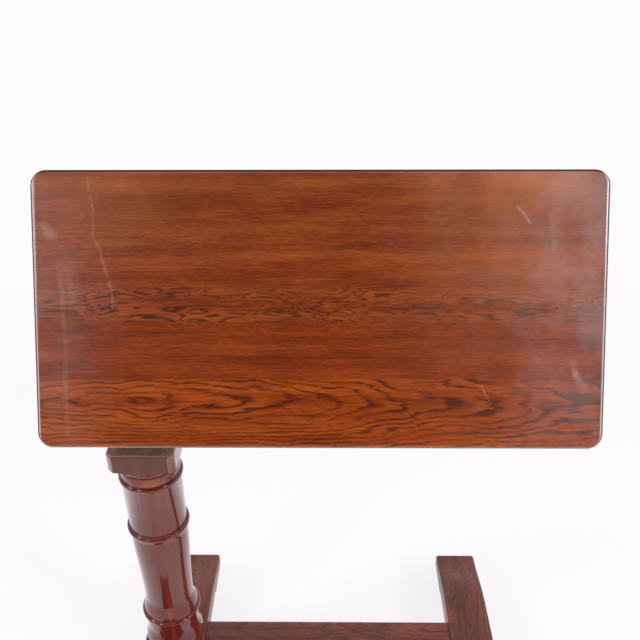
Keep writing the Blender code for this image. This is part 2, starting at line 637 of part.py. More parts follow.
# Base: two cross feet joined by a stretcher
def foot_outline():
    """Side view of a foot in Y and Z: relieved underside, swept top."""
    end = FOOT_LENGTH / 2
    pad = end - FOOT_PAD
    low = CASTER_HEIGHT
    relief = low + FOOT_RELIEF
    points = [(-end, low), (-pad, low), (FOOT_RELIEF_RUN - pad, relief), (pad - FOOT_RELIEF_RUN, relief),
              (pad, low), (end, low)]
    rise = FOOT_HEIGHT - FOOT_TIP_HEIGHT
    sweep = []
    for k in range(ARC_STEPS + 1):
        share = k / ARC_STEPS
        y = end + (FOOT_CROWN / 2 - end) * share
        sweep.append((y, low + FOOT_TIP_HEIGHT + rise * (1 - math.cos(math.pi * share)) / 2))
    return points + sweep + [(-y, z) for y, z in reversed(sweep)]


feet = {}
for side, x, width in (("left", COLUMN_X, FOOT_LEFT_WIDTH), ("right", FOOT_RIGHT_X, FOOT_RIGHT_WIDTH)):
    feet[side] = add(f"foot_{side}", prism(foot_outline(), x - width / 2, x + width / 2, "X"), oak_frame)
    chamfer(feet[side], FOOT_CHAMFER)

socket = turned([(0.0, OVERCUT), (COLUMN_TENON_RADIUS + SEAT, OVERCUT),
                 (COLUMN_TENON_RADIUS + SEAT, -COLUMN_TENON_LENGTH - SEAT),
                 (0.0, -COLUMN_TENON_LENGTH - SEAT)], COLUMN_FACETS)
combine(feet["left"], add("column_socket", socket, oak_frame, None, (COLUMN_X, 0.0, FOOT_TOP)),
        "DIFFERENCE")

stretcher_start = COLUMN_X + FOOT_LEFT_WIDTH / 2 + SEAT
stretcher_end = FOOT_RIGHT_X - FOOT_RIGHT_WIDTH / 2 - SEAT
stretcher_low = CASTER_HEIGHT + STRETCHER_LIFT
stretcher = add("stretcher", box((stretcher_start, -STRETCHER_WIDTH / 2, stretcher_low),
                                 (stretcher_end, STRETCHER_WIDTH / 2, stretcher_low + STRETCHER_HEIGHT)),
                oak_frame)
chamfer(stretcher, STRETCHER_CHAMFER)

left_tenon = FOOT_LEFT_WIDTH / 2 - COLUMN_TENON_RADIUS - TENON_WEB
right_tenon = FOOT_RIGHT_WIDTH - TENON_END_WOOD
tenon_low = stretcher_low + (STRETCHER_HEIGHT - TENON_HEIGHT) / 2
tenon_high = tenon_low + TENON_HEIGHT
peg_low = CASTER_HEIGHT + FOOT_RELIEF
peg_high = tenon_high + PEG_RADIUS
for side, face, sign, tenon_length in (("left", stretcher_start, -1, left_tenon),
                                       ("right", stretcher_end, 1, right_tenon)):
    low_x, high_x = sorted((face - sign * STRETCHER_CHAMFER, face + sign * tenon_length))
    tenon = add(f"stretcher_tenon_{side}", box((low_x, -TENON_WIDTH / 2, tenon_low),
                                               (high_x, TENON_WIDTH / 2, tenon_high)), oak_frame)
    combine(stretcher, tenon, "UNION")
    low_x, high_x = sorted((face - sign * OVERCUT, face + sign * (tenon_length + SEAT)))
    mortise = add(f"stretcher_mortise_{side}",
                  box((low_x, -TENON_WIDTH / 2 - SEAT, tenon_low - SEAT),
                      (high_x, TENON_WIDTH / 2 + SEAT, tenon_high + SEAT)), oak_frame)
    combine(feet[side], mortise, "DIFFERENCE")
    place = (face + sign * tenon_length / 2, 0.0, 0.0)
    add(f"stretcher_peg_{side}", rod(PEG_RADIUS, peg_low, peg_high), oak_frame, None, place)
    hole = add(f"stretcher_peg_hole_{side}", rod(PEG_RADIUS + SEAT, peg_low - OVERCUT, peg_high + SEAT),
               oak_frame, None, place)
    combine(feet[side], hole, "DIFFERENCE")
    combine(stretcher, hole, "DIFFERENCE")


# Casters: a plate under the foot, a horn that swivels in it, and a wheel on its axle
def horn_arm(low, high):
    """Side plate of the horn, from its crown down to the axle, with a round eye."""
    outline = [(HORN_CROWN_RADIUS - PIN_RADIUS, HORN_CROWN_LOW + HORN_CROWN_THICK / 2),
               (-HORN_CROWN_RADIUS + PIN_RADIUS, HORN_CROWN_LOW + HORN_CROWN_THICK / 2)]
    outline += arc((CASTER_TRAIL, AXLE_HEIGHT), HORN_EYE_RADIUS, HORN_EYE_START_DEG, HORN_EYE_END_DEG,
                   LONG_ARC_STEPS)
    return prism(outline, low, high, "X")


plate_high = CASTER_HEIGHT - SEAT
plate_low = plate_high - PLATE_THICK
arm_inner = WHEEL_WIDTH / 2 + HORN_SIDE_GAP
arm_outer = arm_inner + HORN_WALL
axle_end = arm_outer + SEAT + AXLE_HEAD
rivet_low = plate_high + SEAT
rivet_high = rivet_low + PIN_HEAD_THICK
for side, x in (("left", COLUMN_X), ("right", FOOT_RIGHT_X)):
    for end, sign in (("front", -1), ("back", 1)):
        tag = f"{end}_{side}"
        pin_place = (x, sign * (FOOT_LENGTH / 2 - CASTER_INSET), 0.0)
        add(f"caster_plate_{tag}", tube(PIN_RADIUS + SEAT, PLATE_RADIUS, plate_low, plate_high), brass, None,
            pin_place)
        rivet_hole = rod(PIN_HEAD_RADIUS + 2 * SEAT, CASTER_HEIGHT - OVERCUT, rivet_high + 2 * SEAT)
        combine(feet[side], add(f"rivet_hole_{tag}", rivet_hole, brass, None, pin_place), "DIFFERENCE")

        swivel = axis_empty(f"caster_swivel_{tag}", pin_place, (0.0, 0.0, 0.0 if sign > 0 else math.pi))
        horn_profile = [(0.0, rivet_high), (PIN_HEAD_RADIUS, rivet_high), (PIN_HEAD_RADIUS, rivet_low),
                        (PIN_RADIUS, rivet_low), (PIN_RADIUS, plate_low - SEAT),
                        (HORN_CROWN_RADIUS, plate_low - SEAT), (HORN_CROWN_RADIUS, HORN_CROWN_LOW),
                        (0.0, HORN_CROWN_LOW)]
        horn = add(f"caster_horn_{tag}", turned(horn_profile, METAL_FACETS), brass, swivel)
        axle_hole = add(f"axle_hole_{tag}", aimed(rod(AXLE_RADIUS + SEAT, -axle_end, axle_end), "+X"), steel,
                        swivel, (0.0, CASTER_TRAIL, AXLE_HEIGHT))
        for hand, low in (("a", -arm_outer), ("b", arm_inner)):
            arm = add(f"horn_arm_{tag}_{hand}", horn_arm(low, low + HORN_WALL), brass, swivel)
            combine(horn, arm, "UNION")
        combine(horn, axle_hole, "DIFFERENCE")

        axle_place = (0.0, CASTER_TRAIL, AXLE_HEIGHT)
        axle_profile = [(0.0, axle_end), (AXLE_HEAD_RADIUS, axle_end),
                        (AXLE_HEAD_RADIUS, arm_outer + SEAT), (AXLE_RADIUS, arm_outer + SEAT),
                        (AXLE_RADIUS, -arm_outer - SEAT), (AXLE_HEAD_RADIUS, -arm_outer - SEAT),
                        (AXLE_HEAD_RADIUS, -axle_end), (0.0, -axle_end)]
        add(f"caster_axle_{tag}", aimed(turned(axle_profile, METAL_FACETS), "+X"), steel, swivel, axle_place)
        half = WHEEL_WIDTH / 2
        tread = half - WHEEL_CROWN
        wheel_profile = [(AXLE_RADIUS + SEAT, half), (WHEEL_RADIUS - WHEEL_CROWN, half),
                         (WHEEL_RADIUS, tread), (WHEEL_RADIUS, -tread),
                         (WHEEL_RADIUS - WHEEL_CROWN, -half), (AXLE_RADIUS + SEAT, -half)]
        wheel = turned(wheel_profile, WHEEL_FACETS, ring=True)
        wheel.transform(Matrix.Rotation(math.pi / WHEEL_FACETS, 4, "Z"))
        add(f"caster_wheel_{tag}", aimed(wheel, "+X"), brass, swivel, axle_place)
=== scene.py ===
"""Tilt-top reading table in stained oak, dressed over its solids.

The script runs from top to bottom in the order in which the table goes together: feet, casters,
stretcher, column, height clamp, post, top, rails, cheeks, screws and pivot, then floor, light and camera.
Lengths are in metres unless a name says mm. X runs along the top, Y to the back and Z up.
"""

import functools
import json
import math

import bmesh
import bpy
import numpy as np
from mathutils import Matrix, Vector


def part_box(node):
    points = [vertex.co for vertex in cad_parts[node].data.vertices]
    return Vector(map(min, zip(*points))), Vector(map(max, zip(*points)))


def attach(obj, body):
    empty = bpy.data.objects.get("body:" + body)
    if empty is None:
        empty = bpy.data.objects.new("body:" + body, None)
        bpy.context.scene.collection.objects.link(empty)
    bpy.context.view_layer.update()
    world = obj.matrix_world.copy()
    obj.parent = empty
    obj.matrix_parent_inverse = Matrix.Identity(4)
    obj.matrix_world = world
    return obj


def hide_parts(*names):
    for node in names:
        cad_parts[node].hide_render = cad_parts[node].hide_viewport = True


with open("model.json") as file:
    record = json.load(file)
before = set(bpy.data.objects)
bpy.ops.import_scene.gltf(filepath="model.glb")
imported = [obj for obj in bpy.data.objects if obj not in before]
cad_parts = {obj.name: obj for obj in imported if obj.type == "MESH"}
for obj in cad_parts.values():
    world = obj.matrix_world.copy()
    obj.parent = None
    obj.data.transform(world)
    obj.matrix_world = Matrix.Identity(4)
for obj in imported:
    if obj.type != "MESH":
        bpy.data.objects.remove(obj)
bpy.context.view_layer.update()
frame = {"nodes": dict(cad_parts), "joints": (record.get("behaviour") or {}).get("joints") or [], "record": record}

# Feet: two cross feet sawn from thick oak plank, swept down to their ends, hollowed underneath and
# rounded over on every arris, in the same dark stain as the column that is tenoned into the left one.
FOOT_ROUND = 0.005
FOOT_TIP = 0.030  # height at the ends
FOOT_CROWN = 0.150  # level length over the middle
FOOT_PAD = 0.076  # level length under each end
FOOT_RELIEF = 0.008
FOOT_RELIEF_RUN = 0.012
FOOT_STATIONS = 90
LAY = {"X": (0, 1, 2), "Y": (1, 0, 2), "Z": (1, 2, 0)}  # lays (along, across, up) along an axis
WELD = 1e-6  # points closer than this are one point
SHARP_DEG = 38.0
FOOT_TONES = ("#45190F", "#68281A", "#813E27")
PORE_BROWN = "#2B1712"
PORE_DEPTH = 0.0002
PORE_BUMP = 0.25
GLOSS_SPREAD = 0.05  # how far the streaks move the roughness, up and down
CUT_STEEP_TO_FLAT = (0.55, 0.88)  # rise of a ring's normal where it counts as cut steep, and as cut flat
VESSEL_TEAR_MM = 34  # reach of the vessels that tear a ring's edge
EARLY_WOOD = ((0.0, "#FFFFFF"), (0.15, "#FFFFFF"), (0.40, "#000000"), (0.91, "#000000"), (1.0, "#FFFFFF"))
OAK_PATTERNS_MM = {  # length along the grain, width and detail of each pattern in the wood
    "tear": (30, 2.6, 2.0), "pores": (15, 1.2, 2.0), "uneven": (110, 20, 2.0), "hairs": (48, 1.1, 2.0),
    "streaks": (420, 16, 3.0), "clouds": (85, 26, 3.0), "fibres": (70, 1.3, 2.0), "specks": (11, 1.0, 2.0)}
STREAK_SHARE = 0.55  # how much each pattern moves the colour of the wood
BODY_SHARES = {"clouds": 0.44, "fibres": 0.45, "specks": 0.65}
TONE_STOPS = (0.60, 0.82, 1.0)


def linear(value):
    """sRGB hex to linear RGBA: a straight toe up to 0.04045, then a power of 2.4. Other values stay."""
    if not isinstance(value, str):
        return value
    share = np.array([int(value[k:k + 2], 16) for k in (1, 3, 5)]) / 255
    level = np.where(share <= 0.04045, share / 12.92, ((share + 0.055) / 1.055) ** 2.4)
    return (*level.tolist(), 1.0)


def feed(node, links):
    """Give a node's inputs values, or links from other nodes' outputs. None leaves an input as it is."""
    for socket, value in links.items():
        if isinstance(value, bpy.types.NodeSocket):
            node.id_data.links.new(value, node.inputs[socket])
        elif value is not None:
            node.inputs[socket].default_value = linear(value)


def add_node(tree, kind, *values, stops=None, out=None, **settings):
    """Add a shader node, its kind followed by its operation if it has one: settings are its properties,
    values feed the inputs that these leave in use, in order, and stops are a ramp's places and colours.
    Returns the output named out, or else the first one in use."""
    kind, *operation = kind.split()
    made = tree.nodes.new("ShaderNode" + kind)
    if operation:
        made.operation = operation[0]
    for name, value in settings.items():
        setattr(made, name, value)
    feed(made, dict(zip([k for k, socket in enumerate(made.inputs) if socket.enabled], values)))
    if stops:
        first, *inner, last = [(place, linear(tone)) for place, tone in stops]
        ramp = made.color_ramp.elements
        ramp[0].position, ramp[0].color = first
        ramp[-1].position, ramp[-1].color = last
        for place, colour in inner:
            ramp.new(place).color = colour
    return made.outputs[out] if out else next(socket for socket in made.outputs if socket.enabled)


def new_material(name):
    """Material with a plain shader: returns it, that shader and add_node for its tree."""
    made = bpy.data.materials.new(name)
    made.use_nodes = True
    return made, made.node_tree.nodes["Principled BSDF"], functools.partial(add_node, made.node_tree)


def oak(name, place, turn, tones, pith, slant, ring_mm, flecks, roughness, wander_mm=(22, 260, 120),
        dip_mm=None, steep=0.10, fibre=1.0, pore=PORE_BROWN, coat=0.3, coat_roughness=0.12, specular=0.3,
        wear=None):
    """Oak, stained, filled and polished. Growth rings are shells about a pith line at pith (across, up),
    which leans by slant over the length and dips by the depths in dip_mm (place, depth). Distance from it
    over the ring width, with a slow wander (reach, length, width), gives the ring, and its fraction the early
    and the late wood. Long vessels tear a ring's edge along the grain: saw teeth where it is cut flat, a
    clean line where it is cut steep. Open pores gather in the early wood as dark dashes, at the share steep
    where a ring is cut steep. Hair lines of single vessels, fine streaks and clouds of uneven stain lie
    everywhere, as strong as fibre says. Over these go the marks of wear, which also says how bare of polish
    a place is. Real pores are 0.3 mm wide; they are drawn about four times coarser, so that they show."""
    made, shader, node = new_material(name)
    spot = node("Mapping", node("TexCoord", out="Object"), place, turn, vector_type="TEXTURE")
    noise = {}
    for pattern, (along_mm, across_mm, detail) in OAK_PATTERNS_MM.items():
        size = (1000 / along_mm, 1000 / across_mm, 1000 / across_mm)
        noise[pattern] = node("TexNoise", node("VectorMath MULTIPLY", spot, size), 1.0, detail)

    tear = VESSEL_TEAR_MM / 1000
    torn = node("VectorMath MULTIPLY_ADD", noise["tear"].node.outputs["Color"], (tear, 0.0, 0.0),
                (-tear / 2, 0.0, 0.0))
    torn = node("VectorMath ADD", spot, torn)
    reach, length, width = np.array(wander_mm) / 1000
    stretched = node("VectorMath MULTIPLY", torn, (1 / length, 1 / width, 1 / width))
    wander = node("TexNoise", stretched, 1.0, 2.0, out="Color")
    shift = node("VectorMath MULTIPLY_ADD", wander, (0.0, 2 * reach, 2 * reach),
                 (0.0, -reach - pith[0], -reach - pith[1]))
    across = node("VectorMath MULTIPLY_ADD", spot, (0.0, 1.0, 1.0), shift)
    along = node("SeparateXYZ", torn, out="X")
    lean = node("VectorMath SCALE", (0.0, *slant), along)
    if dip_mm:
        places, depths = np.array(dip_mm).T / 1000
        dip = node("ValToRGB", node("MapRange", along, places[0], places[-1]), stops=[
            (at, (level, level, level, 1.0))
            for at, level in zip((places - places[0]) / np.ptp(places), depths / depths.max())])
        lean = node("VectorMath MULTIPLY_ADD", dip, (0.0, 0.0, -depths.max()), lean)
    from_pith = node("VectorMath SUBTRACT", across, lean)
    distance = node("VectorMath LENGTH", from_pith)
    ring = node("Math MULTIPLY", distance, 1000 / ring_mm)
    dashes = node("ValToRGB", node("Math FRACT", ring), stops=EARLY_WOOD)
    up = node("Math ABSOLUTE", node("SeparateXYZ", from_pith, out="Z"))
    flat_cut = node("Math DIVIDE", up, distance)
    flat_cut = node("MapRange", flat_cut, *CUT_STEEP_TO_FLAT, steep, 1.0, interpolation_type="SMOOTHSTEP")
    # Each step is where a pattern starts and stops, and its values there.
    step = {pattern: node("MapRange", noise[pattern], *values) for pattern, values in {
        "pores": (0.36, 0.52, 0.60, 1.0), "uneven": (0.38, 0.56, 0.45 * flecks, flecks),
        "hairs": (0.55, 0.70, 0.0, 0.42 * fibre),
        "streaks": (0.3, 0.7, roughness - GLOSS_SPREAD, roughness + GLOSS_SPREAD)}.items()}
    for factor in (step["pores"], flat_cut, step["uneven"]):
        dashes = node("Math MULTIPLY", dashes, factor, use_clamp=True)
    dashes = node("Math MAXIMUM", dashes, step["hairs"])

    level = STREAK_SHARE - fibre * sum(BODY_SHARES.values()) / 2
    body = node("Math MULTIPLY_ADD", noise["streaks"], STREAK_SHARE, level)
    for pattern, share in BODY_SHARES.items():
        body = node("Math MULTIPLY_ADD", noise[pattern], share * fibre, body)
    colour = node("ValToRGB", body, stops=zip(TONE_STOPS, tones))
    marks, dull, gloss = [], step["streaks"], coat
    if wear:
        marks, bare, bare_roughness, all_bare = wear(node, spot)
        dull = node("Mix", bare, dull, bare_roughness, data_type="FLOAT")
        gloss = node("MapRange", bare, 0.0, all_bare, coat, 0.0)
    for share, tone in [(dashes, pore)] + marks:
        colour = node("Mix", share, colour, tone, data_type="RGBA")
    sunk = node("Bump", PORE_BUMP, PORE_DEPTH, None, dashes, invert=True)
    feed(shader, {"Base Color": colour, "Roughness": dull, "Normal": sunk, "Coat Weight": gloss,
                  "Coat Roughness": coat_roughness, "Specular IOR Level": specular})
    return made


def stations(low, high, ease, between=0, steps=6):
    """Places along a bar from end to end, and the inset that rounds each end over a quarter circle."""
    turn = np.linspace(0, np.pi / 2, steps + 1)
    start = low + ease * (1 - np.cos(turn))
    inset = ease * (1 - np.sin(turn))
    inner = np.linspace(low + ease, high - ease, between + 2)[1:-1]
    places = np.concatenate([start, inner, (low + high - start)[::-1]])
    return places, np.concatenate([inset, np.zeros(between), inset[::-1]])


def capped(sections, first, last, axis):
    """Sections (along, across, up), closed to a point at both ends and laid along an axis."""
    poles = [np.broadcast_to(pole, (1, sections.shape[1], 3)) for pole in (first, last)]
    return np.concatenate([poles[0], sections, poles[1]])[..., LAY[axis]]


def loft(axis, along, centre_u, centre_v, half_u, half_v, radius, steps=6):
    """Rounded oblongs carried along an axis: each corner is a quarter circle about its own centre, the
    sections lie in the other two axes, and both ends close to their middles."""
    bend = np.linspace(0, np.pi / 2, steps + 1)
    turn = np.concatenate([bend + k * np.pi / 2 for k in range(4)] + [[0.0]])
    sign_u = np.repeat([1, -1, -1, 1, 1], [steps + 1] * 4 + [1])
    sign_v = np.repeat([1, 1, -1, -1, 1], [steps + 1] * 4 + [1])
    along, centre_u, centre_v, half_u, half_v, radius = (
        np.broadcast_to(value, np.shape(along))[:, None]
        for value in (along, centre_u, centre_v, half_u, half_v, radius))
    u = centre_u + sign_u * (half_u - radius) + radius * np.cos(turn)
    v = centre_v + sign_v * (half_v - radius) + radius * np.sin(turn)
    middles = np.hstack([along, centre_u, centre_v])
    return capped(np.stack([along + 0 * u, u, v], -1), middles[0], middles[-1], axis)


def put(name, data):
    """New object in the scene, at the origin."""
    made = bpy.data.objects.new(name, data)
    bpy.context.scene.collection.objects.link(made)
    return made


def make_piece(name, patches, finish, body, slot, *nodes):
    """Skin of one or more grids of points: neighbours in a grid make quads, and points that coincide are
    welded, which closes seams, poles and borders. It rides a body and stands for those nodes."""
    quads = []
    start = 0
    for patch in patches:
        index = start + np.arange(patch.shape[0] * patch.shape[1]).reshape(patch.shape[:2])
        corners = [index[:-1, :-1], index[1:, :-1], index[1:, 1:], index[:-1, 1:]]
        quads.append(np.stack(corners, -1).reshape(-1, 4))
        start += index.size
    mesh = bpy.data.meshes.new(name)
    mesh.from_pydata(np.concatenate([patch.reshape(-1, 3) for patch in patches]), [], np.concatenate(quads))
    shape = bmesh.new()
    shape.from_mesh(mesh)
    bmesh.ops.remove_doubles(shape, verts=shape.verts, dist=WELD)
    bmesh.ops.dissolve_degenerate(shape, dist=WELD, edges=shape.edges)
    bmesh.ops.recalc_face_normals(shape, faces=shape.faces)
    shape.to_mesh(mesh)
    shape.free()
    mesh.shade_smooth()
    mesh.set_sharp_from_angle(angle=math.radians(SHARP_DEG))
    mesh.materials.append(finish)
    piece = put(name, mesh)
    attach(piece, body)
    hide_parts(*nodes)


for side in ("left", "right"):
    low, high = np.array(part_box(f"foot_{side}"))
    middle = (low + high) / 2
    along, inset = stations(low[1], high[1], FOOT_ROUND, FOOT_STATIONS)
    rise = np.clip((high[1] - np.abs(along)) / (high[1] - FOOT_CROWN / 2), 0, 1)
    upper = low[2] + FOOT_TIP + (high[2] - low[2] - FOOT_TIP) * (1 - np.cos(np.pi * rise)) / 2
    hollow = np.clip((high[1] - FOOT_PAD - np.abs(along)) / FOOT_RELIEF_RUN, 0, 1)
    under = low[2] + FOOT_RELIEF * hollow * hollow * (3 - 2 * hollow)
    grid = loft("Y", along, middle[0], (upper + under) / 2, (high[0] - low[0]) / 2 - inset,
                (upper - under) / 2 - inset, FOOT_ROUND - inset)
    finish = oak(f"stained oak, {side} foot", (middle[0], 0.0, middle[2]), (0.0, 0.0, math.pi / 2),
                 FOOT_TONES, pith=(0.02, -0.09), slant=(0.03, 0.05), ring_mm=3.4, flecks=0.7, roughness=0.36)
    make_piece(f"{side}_foot", [grid], finish, "base", "frame_oak", f"foot_{side}")

# Casters: cast brass, browned with age. A round plate is screwed under the end of each foot, a horn with
# two arms swivels in it on a riveted pin, and a turned wheel runs on a steel axle headed over at its ends.
CASTER_TAGS = ("front_left", "back_left", "front_right", "back_right")
CASTER_EASE = 0.0006
CROWN_HEIGHT = 0.004
CROWN_GAP = 0.0003  # from the crown to its plate
HORN_ROOT = 0.009  # half the width of an arm at the crown
HORN_EYE = 0.006
HORN_EYE_DEG = (195, 385)  # the part of an arm's outline that goes round the axle
HORN_EYE_STEPS = 24
HORN_WALL = 0.0026
ARM_GAP = 0.0006  # from an arm to the wheel
WHEEL_HUB = 0.0070
WHEEL_WEB = 0.0130  # radius at which the sunk web meets the rim
WHEEL_SINK = 0.0022
WHEEL_ROUND = 0.0024
WHEEL_BORE = 0.0028
AXLE_SHANK = 0.0025
AXLE_HEAD_HEIGHT = 0.0012
AGED_BRASS = ("#4A3418", "#8A6A34", "#B8924E")
DULL_STEEL = ("#4A4642", "#7C7873", "#9A958E")
TARNISH_STOPS = (0.42, 0.60, 0.80)
METAL_GRAIN_MM = 0.8  # real scratches are far finer, and are drawn this coarse so that they show
METAL_GRAIN_SHARE = 0.3
METAL_GRAIN_DEPTH = 0.0001
METAL_BUMP = 0.2
DOME_DEG = 85  # a domed head's section runs from its rim up to here, and then straight to its pole


def metal(name, tones, roughness, blotch_mm):
    """Bare metal that has been handled: slow blotches of tarnish and a fine grain of scratches move the
    colour between the three tones, and what is tarnished is also duller."""
    made, shader, node = new_material(name)
    spot = node("TexCoord", out="Object")
    blotch = node("TexNoise", spot, 1000 / blotch_mm, 5.0, 0.6)
    grain = node("TexNoise", spot, 1000 / METAL_GRAIN_MM, 2.0)
    tarnish = node("Math MULTIPLY_ADD", grain, METAL_GRAIN_SHARE, blotch)
    feed(shader, {"Base Color": node("ValToRGB", tarnish, stops=zip(TARNISH_STOPS, tones)),
                  "Roughness": node("MapRange", tarnish, 0.45, 0.85, roughness + 0.14, roughness - 0.06),
                  "Normal": node("Bump", METAL_BUMP, METAL_GRAIN_DEPTH, None, tarnish), "Metallic": 1.0})
    return made


def arc(radius, height, reach, start, end, steps=5, rise=None):
    """Points of a circle about (radius, height), or of an ellipse, between two angles in degrees."""
    turn = np.radians(np.linspace(start, end, steps + 1))
    return np.stack([radius + reach * np.cos(turn), height + (rise or reach) * np.sin(turn)], -1)


def disc_profile(radius, low, high, ease, bore=0.0):
    """Section of a disc or ring about Z, its two outer rims rounded: a closed loop if it has a bore."""
    loop = [[[bore, low]], arc(radius - ease, low + ease, ease, -90, 0),
            arc(radius - ease, high - ease, ease, 0, 90), [[bore, high]]]
    return np.concatenate(loop + loop[:1] if bore else loop)


def turned(profile, place, axis="Z", turns=48):
    """Surface of revolution: each point (radius, height) of the profile is carried round the axis."""
    turn = np.linspace(0, 2 * np.pi, turns + 1)
    radius, height = (np.asarray(profile)[:, k, None] for k in (0, 1))
    grid = np.stack([height + 0 * turn, radius * np.cos(turn), radius * np.sin(turn)], -1)
    return grid[..., LAY[axis]] + np.asarray(place)


def plate(outline, low, high, ease, centre):
    """Flat plate: outline(inset) gives its edge, carried along X with both rims rounded over."""
    along, inset = stations(low, high, ease, steps=4)
    edge = np.stack([outline(step) for step in inset])
    sections = np.concatenate([np.broadcast_to(along[:, None, None], edge.shape[:2] + (1,)), edge], -1)
    return capped(sections, [along[0], *centre], [along[-1], *centre], "X")


def horn_edge(pin_y, root_z, axle_y, axle_z):
    """Side view of a horn's arm in Y and Z: straight edges run from the crown to an eye about the axle,
    which trails behind the pin on either side."""
    trail = axle_y - pin_y

    def outline(inset):
        root = HORN_ROOT - inset
        ends = np.array([[root, root_z - inset], [-root, root_z - inset]])
        rim = arc(abs(trail), axle_z, HORN_EYE - inset, *HORN_EYE_DEG, HORN_EYE_STEPS)
        return np.concatenate([ends, rim, ends[:1]]) * (np.sign(trail), 1) + (pin_y, 0)
    return outline


aged_brass = metal("aged brass, cast and browned", AGED_BRASS, roughness=0.34, blotch_mm=14.0)
dull_steel = metal("mild steel, dull", DULL_STEEL, roughness=0.42, blotch_mm=9.0)
for tag in CASTER_TAGS:
    boxes = [np.array(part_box(f"caster_{part}_{tag}")) for part in ("plate", "horn", "wheel", "axle")]
    plate_half, horn_half, wheel_half, axle_half = (np.ptp(box, 0) / 2 for box in boxes)
    low, high = boxes[0]
    pin = (low + high) / 2 * (1, 1, 0)
    hub = boxes[2].mean(0)
    disc = disc_profile(plate_half[0], low[2], high[2], CASTER_EASE)
    make_piece(f"plate_{tag}", [turned(disc, pin)], aged_brass, "base", "brass", f"caster_plate_{tag}")

    crown_low = low[2] - CROWN_HEIGHT
    patches = [turned(disc_profile(horn_half[0], crown_low, low[2] - CROWN_GAP, CASTER_EASE), pin)]
    edge = horn_edge(pin[1], crown_low + CROWN_HEIGHT / 2, hub[1], hub[2])
    middle = (pin[1] + hub[1]) / 2, (crown_low + hub[2]) / 2
    arm_inner = wheel_half[0] + ARM_GAP
    for start in (pin[0] - arm_inner - HORN_WALL, pin[0] + arm_inner):
        patches.append(plate(edge, start, start + HORN_WALL, CASTER_EASE, middle))
    make_piece(f"horn_{tag}", patches, aged_brass, f"caster_{tag}", "brass", f"caster_horn_{tag}")

    half = wheel_half[0]
    web = half - WHEEL_SINK
    flank = [[WHEEL_BORE, half], [WHEEL_HUB, half], [WHEEL_HUB + CASTER_EASE, web], [WHEEL_WEB, web],
             [WHEEL_WEB + CASTER_EASE, half]]
    flank = np.concatenate([flank, arc(hub[2] - WHEEL_ROUND, half - WHEEL_ROUND, WHEEL_ROUND, 90, 0)])
    loop = np.concatenate([flank, flank[::-1] * (1, -1), flank[:1]])
    make_piece(f"wheel_{tag}", [turned(loop, hub, "X", turns=64)], aged_brass, f"wheel_{tag}", "brass",
               f"caster_wheel_{tag}")

    shank_end = axle_half[0] - AXLE_HEAD_HEIGHT
    dome = arc(0.0, shank_end, axle_half[1], DOME_DEG, 0, rise=AXLE_HEAD_HEIGHT)
    dome = np.concatenate([[[0.0, axle_half[0]]], dome, [[AXLE_SHANK, shank_end]]])
    axle = np.concatenate([dome, dome[::-1] * (1, -1)])
    make_piece(f"axle_{tag}", [turned(axle, hub, "X", turns=32)], dull_steel, f"caster_{tag}", "steel",
               f"caster_axle_{tag}")

# Stretcher: a flat oak rail between the feet, its arrises rounded, tenoned into both and held there by
# two turned oak pegs driven up from below.
STRETCHER_ROUND = 0.004
SHOULDER_EASE = 0.0002  # where a sawn shoulder meets another piece
RAIL_TONES = ("#461A10", "#6A2A1B", "#844029")
UPRIGHT = (0.0, -math.pi / 2, 0.0)  # turns the grain to run up and down


def bar(axis, low, high, radius, ease):
    """Straight bar that fills a box: a rounded oblong carried along an axis, its ends eased."""
    first, across, up = {"X": (0, 1, 2), "Y": (1, 0, 2), "Z": (2, 0, 1)}[axis]
    middle, half = (low + high) / 2, (high - low) / 2
    along, inset = stations(low[first], high[first], ease)
    return loft(axis, along, middle[across], middle[up], half[across] - inset, half[up] - inset,
                radius - inset)


def dress_node(node, finish):
    """Give a node of the frame, whose own shape stays, its material."""
    slots = frame["nodes"][node].data.materials
    slots.clear()
    slots.append(finish)


low, high = np.array(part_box("stretcher"))
low[0], high[0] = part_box("foot_left")[1][0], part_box("foot_right")[0][0]
finish = oak("stained oak, stretcher", (0.0, 0.0, (low[2] + high[2]) / 2), (0.0, 0.0, 0.0), RAIL_TONES,
             pith=(0.01, -0.07), slant=(0.02, 0.06), ring_mm=3.6, flecks=0.7, roughness=0.36)
make_piece("base_rail", [bar("X", low, high, STRETCHER_ROUND, SHOULDER_EASE)], finish, "base", "frame_oak",
           "stretcher")
peg_oak = oak("oak peg, stained", (0.0, 0.0, 0.0), UPRIGHT, RAIL_TONES, pith=(0.05, 0.03), slant=(0.0, 0.0),
              ring_mm=2.5, flecks=0.6, roughness=0.45)
for peg in ("stretcher_peg_left", "stretcher_peg_right", "head_peg"):
    dress_node(peg, peg_oak)

# Column: turned from one square oak billet whose top is left as a block with chamfered corners. Below its
# coved shoulder come a neck with scratched grooves, a bead, the shaft, a second bead, a waist and a bell.
# Dark stain and a thick, glossy polish, but the block's upper face is bare, worn and dusty.
BLOCK_CHAMFER = 0.009
BLOCK_ARRIS = 0.004
BLOCK_CORNER_DROP = 0.034
BLOCK_ROUNDING = 110  # power that blends the block's faces: higher gives sharper corners
LEAST_FACING = 1e-3  # stands for the cosine to a face that is turned away
FACE_STEPS = 40  # points across a face of the block, and across a chamfer
CHAMFER_STEPS = 12
RING_STEPS = (12, 5, 5, 7)  # rings on the cove, up the block's sides, over its arris and in to the bore
SHOULDER_END = 0.050
SHOULDER_REACH = 0.0215
NECK_RADIUS = 0.0475
NECK_FLARE = 0.0020
GROOVE_DEPTH = 0.0015
GROOVE_HALF = 0.0011
NECK_GROOVE_GAP = 0.0022
BEAD_GROOVE_GAP = 0.00165
BEAD_RADIUS = 0.0526
BEAD_HALF = 0.0045
UPPER_BEAD_DROP = 0.0755
LOWER_BEAD_DROP = 0.1870
FILLET_HEIGHT = 0.003
